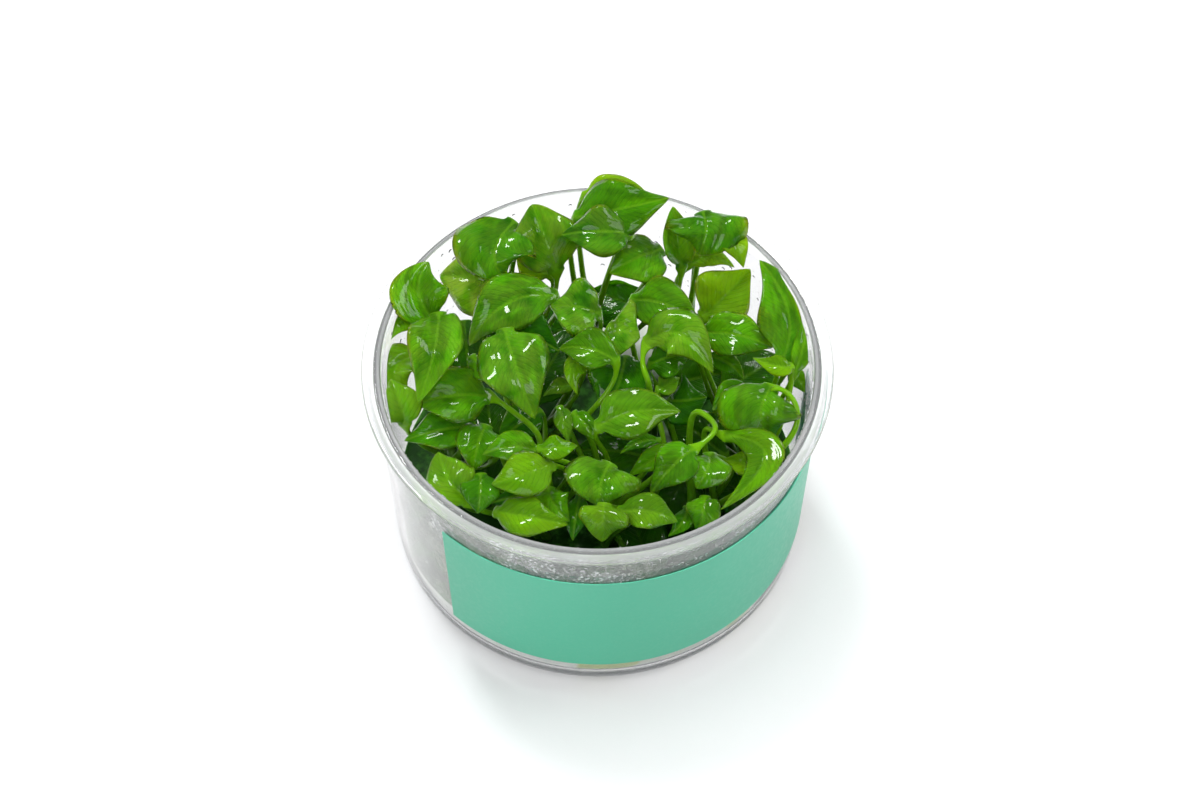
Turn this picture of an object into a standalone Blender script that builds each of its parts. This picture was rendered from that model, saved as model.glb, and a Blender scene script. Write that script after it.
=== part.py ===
"""Tissue culture of a small aroid in its open jar: gel, rooted shoots, leaves and a blank label."""

import math
from collections import namedtuple

import bpy
from mathutils import Quaternion, Vector
from mathutils.bvhtree import BVHTree

# Every length is in millimetres until it is written to a mesh
MM = 0.001

# Jar
SIDES = 36
RIM_RADIUS = 50.0
RIM_TOP = 57.5
RIM_UNDER = 56.7
WALL = 1.5
WALL_LOW_RADIUS = 45.8
WALL_LOW_Z = 3.8
WALL_TOP_RADIUS = 47.5
FOOT_RADIUS = 42.0
FLOOR = 1.8
MOUTH_RADIUS = 45.9

# Label, as angles turned from the front towards the right
LABEL_START_DEG = -43.0
LABEL_END_DEG = 98.0
LABEL_BOTTOM = 9.0
LABEL_TOP = 45.0
LABEL_THICK = 0.4
LABEL_STEPS = 16

# Gel and stems
GAP = 0.35
GEL_TOP = 11.0
STEM_BOTTOM = 7.0
STEM_TOP = 21.0
STEM_LOW_RADIUS = 1.9
STEM_HIGH_RADIUS = 1.2
STEM_SIDES = 8
STEM_REACH = STEM_LOW_RADIUS + 1.3

# Leaf sections
BLADE_THICK = 0.7
BROAD_WIDTH = 9.0
YOUNG_STEPS = (0.22, 0.6, 1.0)
NARROW_STEPS = (0.16, 0.44, 0.76, 1.0)
BROAD_STEPS = (0.13, 0.36, 0.64, 0.86, 1.0)
PETIOLE_LOW_RADIUS = 0.85
PETIOLE_HIGH_RADIUS = 0.6
TIP_HALF = 0.2
MARGIN_DROOP = 0.22
WALL_ROOM = 0.85

# Search for clear places
CLEARANCE = 0.3
LIFT_STEP = 0.5
MOST_LIFTS = 40
SHARPEST_BEND = -0.25

# Leaf points were read on a level plane at READ_Z, as seen from EYE
EYE = Vector((0.55, -331.4, 529.0))
READ_Z = 52.0
FACE = Vector((0.0, -0.35, 0.94))
UP = Vector((0.0, 0.0, 1.0))

# Small leaves low in the tuft, each under a dark gap between the others
LOW_Z = 37.0
LOW_LENGTH = 18.0
LOW_WIDTH = 11.0
LOW_DROOP = 2.5
LOW_FOOT = 0.5
LOW_TURNS = (0, 45, -45, 90, -90, 135, -135, 180)
MOST_DROPS = 22
LOW_SPOTS = [
    (3.5, -19), (8.8, -40.8), (-28, 6.5), (-22.8, -10.8), (33.5, 1.2), (3, 21), (20, -13.8),
    (-10.8, 1.2), (15.5, -30.2), (22.2, -0.2), (-5.5, -24.2), (-23.5, -23.5), (-9.5, 11), (28.2, -28),
]

# Spaces that stay open between the low leaves, from corner to corner
OPEN_SPACES = [
    ((-13.5, -42, 12), (13, -37, 62)), ((-12, -40, 11.5), (4, -24, 40)), ((-6, 18, 11.5), (6, 30, 50)),
]

# Where each stem stands on the gel
SHOOTS = {
    "a": (-21.0, 27.0), "b": (-1.0, 33.0), "c": (20.0, 29.0), "d": (-33.0, 3.0),
    "e": (-13.0, 7.0), "f": (33.0, 1.0), "g": (-13.0, -14.0), "h": (2.0, -15.0),
    "i": (23.0, -15.0), "j": (10.0, 9.0),
}

Leaf = namedtuple("Leaf", "name shoot base mid tip width fold roll route")


def leaf(name, shoot, base, mid, tip, width, fold=12, roll=0, route=()):
    return Leaf(name, shoot, base, mid, tip, width, fold, roll, route)


# From the lowest up. A young leaf is one piece with its stem, and the others are pieces of their own
LEAVES = [
    leaf("young_01", "g", (-12.5, -29.5, 42), (-17.5, -30.5, 43.5), (-22, -32, 42), 4.0),
    leaf("young_02", "g", (-12, -9, 43), (-16.5, -12.5, 45), (-21, -17, 43), 8.0),
    leaf("young_03", "e", (-4.5, -2.5, 42), (-8, -2.6, 44), (-11.5, -5.2, 42), 3.6),
    leaf("young_04", "h", (-3.5, -30, 43), (-4.5, -35.5, 44), (-5, -41, 41), 5.0),
    leaf("young_05", "h", (13, -16.5, 42), (9, -16.8, 44), (4.8, -19.7, 42), 3.0),
    leaf("young_06", "i", (18.5, -33, 42), (17.5, -36.5, 43.5), (14.5, -40, 41), 4.0),
    leaf("young_07", "i", (33, -23.5, 43), (30, -22, 45), (26.4, -21.3, 44), 5.0),
    leaf("young_08", "f", (41, 1.5, 45), (43, -1, 46.5), (44.3, -4.5, 44), 4.0),
    leaf("young_09", "a", (-10, 27, 44), (-14, 31, 47), (-18, 35, 48), 7.0),
    leaf("young_10", "h", (-8, -8, 46), (-7, -12, 47), (-6, -17, 45), 4.0),
    leaf("young_11", "h", (-5, -9.5, 47), (-2.5, -12.5, 48), (-0.5, -16.5, 46), 4.5),
    leaf("young_12", "c", (20, 29.5, 50), (25, 32, 53), (30, 29, 51), 3.5, route=((17, 22.7, 44),)),
    leaf("young_13", "f", (23.5, 5.5, 46), (28, 3.3, 48), (31.2, -0.8, 45), 4.6),
    leaf("young_14", "f", (32, -4, 49), (28, -4.2, 50), (24.3, -9, 47), 5.0),
    leaf("young_15", "j", (0.5, 10.5, 51), (3, 7.5, 52), (4.5, 3.2, 49), 4.0),
    leaf("young_16", "b", (-3, 49, 60), (4, 51.2, 63), (11, 50, 62), 5.0),
    leaf("young_17", "c", (25.5, 41, 59.5), (29.9, 36.4, 60.5), (32, 29, 56), 5.0),
    leaf("young_18", "d", (-36.5, 17.5, 51), (-41.8, 15.2, 54), (-44.6, 9.5, 53.5), 6.0),
    leaf("leaf_01", "c", (23, 15.6, 46), (28, 21.5, 50), (33.5, 28.5, 53), 11.5, 25),
    leaf("leaf_02", "i", (15.2, -6.2, 42.5), (18.5, -6.3, 45), (23.2, -5.4, 44.5), 11.0),
    leaf("leaf_03", "j", (6, 5, 46), (4.5, -2, 47.5), (1.5, -11, 43), 14.0),
    leaf("leaf_04", "d", (-38, 5, 48), (-43.3, 2, 51.5), (-40, -6, 48), 10.0),
    leaf("leaf_05", "a", (-19, 25, 48), (-27, 26, 52), (-34.5, 27, 50), 14.0),
    leaf("leaf_06", "e", (-24, 13, 51), (-15.5, 11, 53.5), (-8.3, 6.5, 51), 12.0),
    leaf("leaf_07", "a", (-9, 28, 50), (-12, 38, 57), (-14.6, 46.6, 60), 12.5, 30),
    leaf("leaf_08", "a", (-18.5, 41.6, 58), (-22.6, 33.2, 59), (-20, 25.5, 54), 14.0),
    leaf("leaf_09", "d", (-35, 14.5, 51), (-39, 22.5, 56), (-37, 30.5, 58), 12.0, 30),
    leaf("leaf_10", "b", (-5, 42.8, 59), (4, 45, 62), (16, 48.5, 60), 11.0),
    leaf("leaf_11", "b", (7.3, 38.3, 58), (0, 39, 61), (-8, 38, 58), 8.5),
    leaf("leaf_12", "b", (14, 34, 53), (8.5, 31.5, 56), (2.5, 27.5, 54), 9.8),
    leaf("leaf_13", "c", (18.5, 29, 51), (17.5, 38, 58), (16.8, 46, 61), 6.5, 40),
    leaf("leaf_14", "c", (23.4, 44.2, 60), (24, 39, 61), (22.3, 32.4, 56), 13.5),
    leaf("leaf_15", "f", (39.5, 4, 52), (41.3, 17, 56), (35.6, 31, 59), 12.5),
    leaf("young_19", "f", (42, 0.5, 51), (44.2, 8, 55), (44.2, 15, 56), 4.5),
    leaf("young_20", "f", (41.5, 2.8, 54), (38.5, 2.7, 55), (33.3, 4.8, 53), 4.5),
    leaf("leaf_16", "a", (-9, 21, 54), (-20, 19, 57), (-27.5, 8, 50), 11.5),
    leaf("leaf_17", "d", (-26, -13, 45), (-33, -13.8, 47.5), (-40.5, -16.5, 45), 8.5),
    leaf("leaf_18", "g", (-23, -5.3, 50), (-30.5, -5, 53), (-38.8, -7.2, 50), 12.0,
         route=((-11.5, -17, 44), (-17.5, -9.5, 48))),
    leaf("young_21", "e", (-27, 5, 52), (-23.5, 1.8, 54), (-18.7, -1.4, 52), 6.0),
    leaf("leaf_19", "d", (-34.5, 16.5, 56), (-35, 7, 59), (-38, -7, 54), 12.0, 25),
    leaf("leaf_20", "d", (-40.5, -12.3, 48), (-41.8, -7, 52.5), (-44, -0.8, 53.5), 9.0),
    leaf("leaf_21", "g", (-23.5, -12.8, 47), (-25, -17.5, 49), (-26, -24, 46), 10.0),
    leaf("leaf_22", "g", (-26.5, -31.5, 46), (-31, -26, 48), (-33.2, -19.3, 47), 11.0),
    leaf("leaf_23", "g", (-24.3, -25, 49), (-24.3, -29.5, 50), (-24.7, -34.5, 46), 8.0),
    leaf("leaf_24", "g", (-12.8, -19, 50), (-18, -18, 52), (-24, -20, 50), 7.0),
    leaf("leaf_25", "g", (-9.5, -22.5, 49), (-15.5, -25, 52), (-22, -27.3, 49), 9.5),
    leaf("leaf_26", "g", (-12.3, -18.5, 53), (-8.3, -18.2, 54), (-4.2, -17.8, 52), 5.0),
    leaf("leaf_27", "g", (-10, -28.3, 46), (-9, -32, 47.5), (-5.7, -36.4, 45), 7.5),
    leaf("leaf_28", "g", (-21, -34, 46), (-14, -35.3, 49.5), (-6, -37.2, 47), 8.2),
    leaf("leaf_29", "h", (2.5, -22.3, 48), (0.8, -27, 50), (0.5, -33, 46), 15.5),
    leaf("leaf_30", "h", (1.5, -32.3, 50), (1.2, -36, 50), (1, -41.3, 43), 10.0),
    leaf("leaf_31", "h", (4.5, -34, 49), (11, -34, 51), (16.5, -36.5, 47), 7.5),
    leaf("leaf_32", "i", (22.3, -30.5, 47), (21.8, -34, 47.5), (20.5, -39, 42), 7.0),
    leaf("young_22", "h", (16.3, -19.5, 46), (12, -21, 48), (6.4, -25.4, 45), 5.5),
    leaf("leaf_33", "i", (20, -18.8, 52), (16, -22.5, 53), (11, -29.5, 47), 9.0,
         route=((19.2, -9.8, 47.5), (24, -11.2, 51), (24.8, -14.5, 53))),
    leaf("leaf_34", "i", (23.5, -19.8, 48), (22.8, -24, 51), (20.5, -28.4, 48), 9.5),
    leaf("leaf_36", "f", (37, -3, 54), (34.5, -10, 53), (36.4, -19.3, 41), 17.0,
         route=((35.9, -21.6, 45), (41.6, -14.5, 49.5), (42.4, -8.5, 54), (40.5, -4.2, 56))),
    leaf("leaf_35", "i", (27, -15.3, 47), (35, -20.5, 51), (25.5, -33.5, 46), 8.0,
         route=((22.3, -14.6, 42),)),
    leaf("leaf_37", "f", (22, 11.5, 51), (30, 10.8, 54), (37.8, 7.5, 51), 9.6),
    leaf("leaf_38", "j", (2.4, 12.8, 51), (5.6, 11.8, 53), (9.2, 10, 51.5), 13.0),
    leaf("leaf_39", "e", (0.2, 4.2, 52.5), (-4.8, 2.2, 53), (-4.2, -4.8, 49), 5.0),
    leaf("leaf_40", "e", (4, 4, 55), (-2, 7.3, 57), (-8.3, 7, 54), 8.6),
    leaf("leaf_41", "e", (0.4, 16.4, 54.5), (-4.5, 18.3, 58), (-10.3, 18.6, 55), 11.5),
    leaf("leaf_42", "j", (7.4, 19.9, 54), (14.5, 19.2, 57.5), (21.9, 14.2, 55), 10.0),
    leaf("leaf_43", "j", (11.3, 3.2, 50), (15.5, 5, 53), (20, 6.3, 52), 9.0),
    leaf("leaf_44", "j", (10.8, 8.6, 54), (18, 11, 58.5), (24.7, 0.7, 53), 11.0,
         route=((11.3, -4.2, 48), (9.6, 3, 52))),
    leaf("young_23", "h", (12.9, -3.4, 47.3), (15.1, -2, 48.6), (17.5, -0.4, 48.3), 4.5),
    leaf("leaf_45", "h", (0.2, -13, 53), (8, -9.2, 56.5), (17.6, -9, 53), 10.8),
    leaf("leaf_46", "e", (-20, 12.2, 58), (-17.5, 2.5, 60), (-13.2, -11, 52), 14.5),
]


def seen(point):
    """Carry a read point along its line of sight from the reading plane to its own height."""
    k = (EYE.z - point[2]) / (EYE.z - READ_Z)
    return Vector((EYE.x + (point[0] - EYE.x) * k, EYE.y + (point[1] - EYE.y) * k, point[2]))


def wall_radius(z, top=WALL_TOP_RADIUS, low=WALL_LOW_RADIUS):
    """Radius of the outer wall at a height."""
    return low + (top - low) * (z - WALL_LOW_Z) / (RIM_UNDER - WALL_LOW_Z)


def keep_inside(point):
    """Press a point that would pass through the wall back against it."""
    most = wall_radius(point.z) - WALL - WALL_ROOM
    reach = math.hypot(point.x, point.y)
    if point.z > RIM_TOP + 1.0 or reach <= most:
        return point
    return Vector((point.x * most / reach, point.y * most / reach, point.z))


def is_young(item):
    """Whether the leaf is still one piece with its stem."""
    return item.name.startswith(("young", "low"))


# Leaf geometry

def axis_point(ends, s):
    base, mid, tip = ends
    return base * ((1 - s) * (1 - 2 * s)) + mid * (4 * s * (1 - s)) + tip * (s * (2 * s - 1))


def axis_slope(ends, s):
    base, mid, tip = ends
    return (base * (4 * s - 3) + mid * (4 - 8 * s) + tip * (4 * s - 1)).normalized()


def blade_frame(ends, s, roll):
    """The blade's right hand and its upper side at a share of its length."""
    slope = axis_slope(ends, s)
    normal = (FACE - slope * FACE.dot(slope)).normalized()
    normal.rotate(Quaternion(slope, math.radians(roll)))
    return slope.cross(normal), normal


def outline(s):
    """Half width of the blade at a share of its length, as a share of the widest."""
    return math.sin(math.pi * s ** 0.78) ** 0.72 if 0 < s < 1 else 0.0


def blade_ring(item, ends, s, grow=0.0):
    """Eight points round the blade: its two margins, and three each above and below."""
    side, normal = blade_frame(ends, s, item.roll)
    center = axis_point(ends, s)
    half = max(item.width / 2 * outline(s), TIP_HALF) + grow
    fold = math.radians(item.fold)
    thick = BLADE_THICK / 2 * min(1.0, 0.35 + 4 * (1 - s)) + grow

    def skin(u, up):
        lift = half * (abs(u) * math.sin(fold) - u * u * MARGIN_DROOP)
        flat = keep_inside(center + side * (u * half * math.cos(fold)) + normal * lift)
        return flat + normal * up

    above = [skin(u, thick * (1 - 0.3 * abs(u))) for u in (-0.5, 0, 0.5)]
    below = [skin(u, -thick * (1 - 0.3 * abs(u))) for u in (0.5, 0, -0.5)]
    return [skin(-1, 0)] + above + [skin(1, 0)] + below


def round_ring(center, side, normal, radius):
    """Eight points round a petiole, in the order that a blade ring has."""
    turns = [math.pi - k * math.pi / 4 for k in range(8)]
    return [center + side * (radius * math.cos(a)) + normal * (radius * math.sin(a)) for a in turns]


def through(points, start, end, share):
    """A point of the smooth curve through these points, and its direction there."""
    count = len(points) - 1
    span = min(int(share * count), count - 1)
    t = share * count - span
    p, q = points[span], points[span + 1]
    reach = (q - p).length
    leave = start * reach if span == 0 else (q - points[span - 1]) / 2
    arrive = end * reach if span == count - 1 else (points[span + 2] - p) / 2
    spot = (p * (2 * t ** 3 - 3 * t ** 2 + 1) + leave * (t ** 3 - 2 * t ** 2 + t)
            + q * (3 * t ** 2 - 2 * t ** 3) + arrive * (t ** 3 - t ** 2))
    way = (p * (6 * t * t - 6 * t) + leave * (3 * t * t - 4 * t + 1)
           + q * (6 * t - 6 * t * t) + arrive * (3 * t * t - 2 * t))
    return spot, way.normalized()


def arrival(item, ends):
    """The direction in which the stalk reaches its blade."""
    slope = axis_slope(ends, 0)
    return slope if item.route else (slope * 0.5 + UP).normalized()


def petiole_rings(item, ends, points, grow=0.0):
    """Rings of the leaf stalk from the stem up, without the one that the blade starts with."""
    start = (UP + (points[1] - points[0]).normalized()).normalized()
    end = arrival(item, ends)
    steps = 2 if len(points) == 3 else 2 * (len(points) - 1)
    _, normal = blade_frame(ends, 0, item.roll)
    rings = []
    for k in reversed(range(steps)):
        center, way = through(points, start, end, k / steps)
        normal = (normal - way * normal.dot(way)).normalized()
        radius = PETIOLE_LOW_RADIUS + (PETIOLE_HIGH_RADIUS - PETIOLE_LOW_RADIUS) * k / steps
        rings.append(round_ring(center, way.cross(normal), normal, radius + grow))
    return rings[::-1]


def blade_rings(item, ends, grow=0.0, from_below=UP):
    """Rings of the blade, of which the first is round and leans back to meet the stalk."""
    side, _ = blade_frame(ends, 0, item.roll)
    lean = (axis_slope(ends, 0) + from_below).normalized()
    side = (side - lean * lean.dot(side)).normalized()
    first = round_ring(ends[0], side, side.cross(lean), PETIOLE_HIGH_RADIUS + grow)
    steps = BROAD_STEPS if item.width > BROAD_WIDTH else NARROW_STEPS
    if is_young(item):
        steps = YOUNG_STEPS
    return [first] + [blade_ring(item, ends, s, grow) for s in steps]


def last_chord(stalk, ends):
    """The direction from the stalk's last ring to the foot of the blade."""
    return (ends[0] - sum(stalk[-1], Vector()) / len(stalk[-1])).normalized()


def leaf_shape(item, ends, points):
    stalk = petiole_rings(item, ends, points)
    return loft(stalk + blade_rings(item, ends, from_below=last_chord(stalk, ends)))


def loft(rings):
    """Points and faces of the closed skin through rings of equal size."""
    size = len(rings[0])
    points = [p for ring in rings for p in ring]
    faces = [tuple(range(size))[::-1], tuple(range(len(points) - size, len(points)))]
    for i in range(len(rings) - 1):
        for j in range(size):
            k = (j + 1) % size
            faces.append((i * size + j, i * size + k, (i + 1) * size + k, (i + 1) * size + j))
    return points, faces


def tree_of(shapes):
    points, faces = [], []
    for shape_points, shape_faces in shapes:
        faces += [tuple(i + len(points) for i in face) for face in shape_faces]
        points += shape_points
    return BVHTree.FromPolygons(points, faces)


# Where each leaf comes to rest

def settled_ends():
    """Raise each blade along the line of sight until it clears those laid before it."""
    laid, found = [], {}
    for item in LEAVES:
        for step in range(MOST_LIFTS):
            lift = UP * (step * LIFT_STEP)
            ends = [seen(Vector(p) + lift) for p in (item.base, item.mid, item.tip)]
            fat = loft(blade_rings(item, ends, CLEARANCE))
            if not laid or not tree_of([fat]).overlap(tree_of(laid)):
                break
        else:
            raise RuntimeError(f"{item.name} finds no clear height")
        found[item.name] = ends, step * LIFT_STEP
        laid.append(loft(blade_rings(item, ends)))
    return found


def petiole_ways(item, ends, lift):
    """The stalk's possible courses from its stem to its blade, the straightest first."""
    x, y = SHOOTS[item.shoot]
    base = ends[0]
    ahead = math.atan2(base.y - y, base.x - x)
    fixed = [seen(Vector(p) + UP * lift) for p in item.route]
    side = Vector((-math.sin(ahead), math.cos(ahead), 0))
    bows = (0,) if fixed else (0, 3, -3, 6, -6, 9, -9)
    behind = axis_slope(ends, 0)
    for back in (2.0, 5.0, 0.0, 8.0, -3.0):
        for bow in bows:
            for turn in (0, 30, -30, 60, -60, 100, -100, 150, -150):
                for height in (19.5, 15.5, 17.5, 13.5):
                    a = ahead + math.radians(turn)
                    out = LOW_FOOT if item.name.startswith("low") else 0.0 if is_young(item) else STEM_REACH
                    foot = Vector((x + out * math.cos(a), y + out * math.sin(a), height))
                    mid = foot.lerp(base, 0.6) + side * bow - behind * back
                    yield [foot] + (fixed or [mid]) + [base]


def upright_shape(x, y, ends):
    """A round piece standing at a spot, from its height and radius at each end."""
    turns = [2 * math.pi * (k + 0.3) / STEM_SIDES for k in range(STEM_SIDES)]
    return loft([[Vector((x + r * math.cos(a), y + r * math.sin(a), z)) for a in turns] for z, r in ends])


def box_shape(low, high):
    xs, ys, zs = zip(low, high)
    points = [Vector((x, y, z)) for x in xs for y in ys for z in zs]
    return points, [(0, 1, 3, 2), (4, 6, 7, 5), (0, 4, 5, 1), (2, 3, 7, 6), (0, 2, 6, 4), (1, 5, 7, 3)]


def stem_shape(x, y):
    return upright_shape(x, y, ((STEM_BOTTOM, STEM_LOW_RADIUS), (STEM_TOP, STEM_HIGH_RADIUS)))


def past_stem(rings):
    """The same rings, but starting where the stalk has left its stem."""
    way = (sum(rings[1], Vector()) - sum(rings[0], Vector())).length / len(rings[0])
    share = min(1.0, STEM_REACH / way)
    return [[a.lerp(b, share) for a, b in zip(rings[0], rings[1])]] + rings[1:]


def clear_course(item, ends, lift, blocked, strangers=None):
    """The first course of the stalk that keeps clear of what blocks it, with the stalk's shape."""
    for points in petiole_ways(item, ends, lift):
        stalk = petiole_rings(item, ends, points, CLEARANCE)
        chord = last_chord(stalk, ends)
        if chord.dot(axis_slope(ends, 0)) < SHARPEST_BEND:
            continue
        rings = stalk + blade_rings(item, ends, CLEARANCE, chord)[:1]
        free = loft(past_stem(rings) if strangers else rings[1:] if is_young(item) else rings)
        if strangers and tree_of([loft(rings)]).overlap(strangers):
            continue
        if all(stays_in(ring) for ring in rings) and not tree_of([free]).overlap(blocked):
            stalk = petiole_rings(item, ends, points)
            return points, loft(stalk + blade_rings(item, ends, 0.0, last_chord(stalk, ends))[:1])
    return None, None


def routed_petioles(settled):
    """Give each leaf a course that clears the other leaves, their stalks and the stems."""
    stems = {key: stem_shape(*spot) for key, spot in SHOOTS.items()}
    blades = {item.name: loft(blade_rings(item, settled[item.name][0])) for item in LEAVES}
    stalks, found, taken = [], {}, []
    for item in sorted(LEAVES, key=lambda one: not one.route):
        ends, lift = settled[item.name]
        own = item.shoot if is_young(item) else ""
        others = [shape for name, shape in blades.items() if name != item.name]
        others += [shape for key, shape in stems.items() if key != own]
        points, stalk = clear_course(item, ends, lift, tree_of(others + stalks))
        if not points:
            raise RuntimeError(f"{item.name} finds no clear way to its stem")
        found[item.name] = points
        stalks.append(stalk)
        taken += [(own, stalk), (own, blades[item.name])]
    return found, taken, stems


def low_leaf(name, spot, turn, drop):
    """A small leaf under a gap and its three axis points, turned from the way out of the nearest shoot."""
    center = seen((*spot, LOW_Z - drop))
    key = min(SHOOTS, key=lambda one: math.dist(SHOOTS[one], center[:2]))
    way = math.atan2(center.y - SHOOTS[key][1], center.x - SHOOTS[key][0]) + math.radians(turn)
    ahead = Vector((math.cos(way), math.sin(way), 0)) * (LOW_LENGTH / 2)
    ends = [center - ahead - UP * LOW_DROOP / 2, center, center + ahead - UP * LOW_DROOP]
    return leaf(name, key, None, None, None, LOW_WIDTH), ends


def placed_low_leaf(name, spot, taken, stems):
    """The highest place and first turn in which a low leaf and its stalk are clear of the taken shapes."""
    everything = [shape for _, shape in taken]
    whole = tree_of(everything + list(stems.values()))
    for step in range(MOST_DROPS):
        for turn in LOW_TURNS:
            item, ends = low_leaf(name, spot, turn, step)
            fat = tree_of([loft(blade_rings(item, ends, CLEARANCE))])
            if fat.overlap(whole):
                continue
            others = [shape for key, shape in stems.items() if key != item.shoot]
            strangers = tree_of(others + [shape for key, shape in taken if key != item.shoot])
            points, stalk = clear_course(item, ends, 0.0, tree_of(everything + others), strangers)
            if points:
                return item, ends, points, stalk
    raise RuntimeError(f"{name} finds no clear place")


def grown_leaves():
    """Each leaf with its three axis points and the course of its stalk."""
    settled = settled_ends()
    courses, taken, stems = routed_petioles(settled)
    taken += [("", box_shape(*space)) for space in OPEN_SPACES]
    grown = [(item, settled[item.name][0], courses[item.name]) for item in LEAVES]
    for number, spot in enumerate(LOW_SPOTS, 1):
        item, ends, points, stalk = placed_low_leaf(f"low_{number:02d}", spot, taken, stems)
        grown.append((item, ends, points))
        taken += [(item.shoot, loft(blade_rings(item, ends))), (item.shoot, stalk)]
    return grown


def stays_in(ring):
    return all(p.z > RIM_TOP or math.hypot(p.x, p.y) < wall_radius(p.z) - WALL - 0.3 for p in ring)


# Blender objects

def collection_of(name):
    found = bpy.data.collections.new(name)
    bpy.context.scene.collection.children.link(found)
    return found


def material_of(name, color, roughness=0.5, transmission=0.0):
    material = bpy.data.materials.new(name)
    material.use_nodes = True
    shader = material.node_tree.nodes["Principled BSDF"]
    shader.inputs["Base Color"].default_value = (*color, 1.0)
    shader.inputs["Roughness"].default_value = roughness
    shader.inputs["Transmission Weight"].default_value = transmission
    return material


def add_object(name, shape, collection, material=None):
    points, faces = shape
    mesh = bpy.data.meshes.new(name)
    mesh.from_pydata([p * MM for p in points], [], faces)
    mesh.shade_smooth()
    found = bpy.data.objects.new(name, mesh)
    collection.objects.link(found)
    if material:
        mesh.materials.append(material)
    return found


def add_turned(name, profile, collection, material):
    """A piece turned about the upright axis from a profile of radius and height pairs."""
    mesh = bpy.data.meshes.new(name)
    edges = [(i, i + 1) for i in range(len(profile) - 1)]
    mesh.from_pydata([(r * MM, 0, z * MM) for r, z in profile], edges, [])
    mesh.materials.append(material)
    found = bpy.data.objects.new(name, mesh)
    collection.objects.link(found)
    screw = found.modifiers.new("Turn", "SCREW")
    screw.steps = screw.render_steps = SIDES
    screw.use_merge_vertices = True
    screw.merge_threshold = 0.0001
    screw.use_smooth_shade = True
    return found


def add_boolean(target, collection, operation):
    boolean = target.modifiers.new(operation.title(), "BOOLEAN")
    boolean.operation = operation
    boolean.operand_type = "COLLECTION"
    boolean.collection = collection
    boolean.solver = "EXACT"
    boolean.use_self = True


def hide_helper(helper):
    helper.hide_render = True
    helper.display_type = "WIRE"


def build_jar(parts):
    inner_low = WALL_LOW_RADIUS - WALL
    profile = [
        (0, FLOOR), (inner_low - 3.8, FLOOR), (inner_low - 1.1, FLOOR + 1.2), (inner_low, FLOOR + 3.6),
        (MOUTH_RADIUS, RIM_TOP - 0.9), (MOUTH_RADIUS + 0.4, RIM_TOP),
        (RIM_RADIUS - 1.7, RIM_TOP), (RIM_RADIUS - 0.3, RIM_TOP - 0.2), (RIM_RADIUS, RIM_TOP - 0.4),
        (RIM_RADIUS - 0.2, RIM_UNDER), (WALL_TOP_RADIUS, RIM_UNDER - 0.1),
        (WALL_LOW_RADIUS, WALL_LOW_Z), (WALL_LOW_RADIUS - 1.1, 1.1), (FOOT_RADIUS, 0), (0, 0),
    ]
    add_turned("jar", profile, parts, material_of("jar_plastic", (0.9, 0.92, 0.92), 0.1, 1.0))


def build_gel(parts, pockets):
    inner_low = WALL_LOW_RADIUS - WALL
    profile = [
        (0, GEL_TOP), (wall_radius(GEL_TOP) - WALL - GAP - 0.1, GEL_TOP), (inner_low - GAP, FLOOR + 3.7),
        (inner_low - 4.0, FLOOR + GAP), (0, FLOOR + GAP),
    ]
    gel = add_turned("gel", profile, parts, material_of("agar_gel", (0.85, 0.87, 0.8), 0.3, 0.6))
    for key, (x, y) in SHOOTS.items():
        reach = STEM_LOW_RADIUS + GAP
        shape = upright_shape(x, y, ((STEM_BOTTOM - GAP, reach), (GEL_TOP + 1.0, reach)))
        hide_helper(add_object(f"pocket_{key}", shape, pockets))
    add_boolean(gel, pockets, "DIFFERENCE")


def build_label(parts):
    rings = []
    for k in range(LABEL_STEPS + 1):
        a = math.radians(LABEL_START_DEG + (LABEL_END_DEG - LABEL_START_DEG) * k / LABEL_STEPS)
        corners = ((GAP, LABEL_BOTTOM), (GAP, LABEL_TOP),
                   (GAP + LABEL_THICK, LABEL_TOP), (GAP + LABEL_THICK, LABEL_BOTTOM))
        rings.append([Vector(((wall_radius(z) + out) * math.sin(a), -(wall_radius(z) + out) * math.cos(a), z))
                      for out, z in corners])
    label = add_object("label", loft(rings), parts, material_of("label_film", (0.12, 0.49, 0.34), 0.4))
    label.data.shade_flat()


def build_plant(parts):
    young = {}
    for key, spot in SHOOTS.items():
        material = material_of(f"shoot_{key}_green", (0.13, 0.3, 0.02))
        stem = add_object(f"shoot_{key}", stem_shape(*spot), parts, material)
        young[key] = collection_of(f"young_leaves_{key}")
        add_boolean(stem, young[key], "UNION")
    for item, ends, points in grown_leaves():
        shape = leaf_shape(item, ends, points)
        if is_young(item):
            hide_helper(add_object(item.name, shape, young[item.shoot]))
        else:
            add_object(item.name, shape, parts, material_of(f"{item.name}_green", (0.1, 0.28, 0.02)))


def main():
    for stray in list(bpy.data.objects):
        bpy.data.objects.remove(stray)
    parts = collection_of("tissue_culture_jar")
    build_jar(parts)
    build_gel(parts, collection_of("gel_pockets"))
    build_label(parts)
    build_plant(parts)


main()
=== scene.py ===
"""Looks of an open cup of tissue cultured plants: wet leaves, gel, fogged wall, bare label."""

import math
from collections import namedtuple

import bmesh
import bpy
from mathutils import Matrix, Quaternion, Vector, noise
from mathutils.bvhtree import BVHTree


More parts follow.
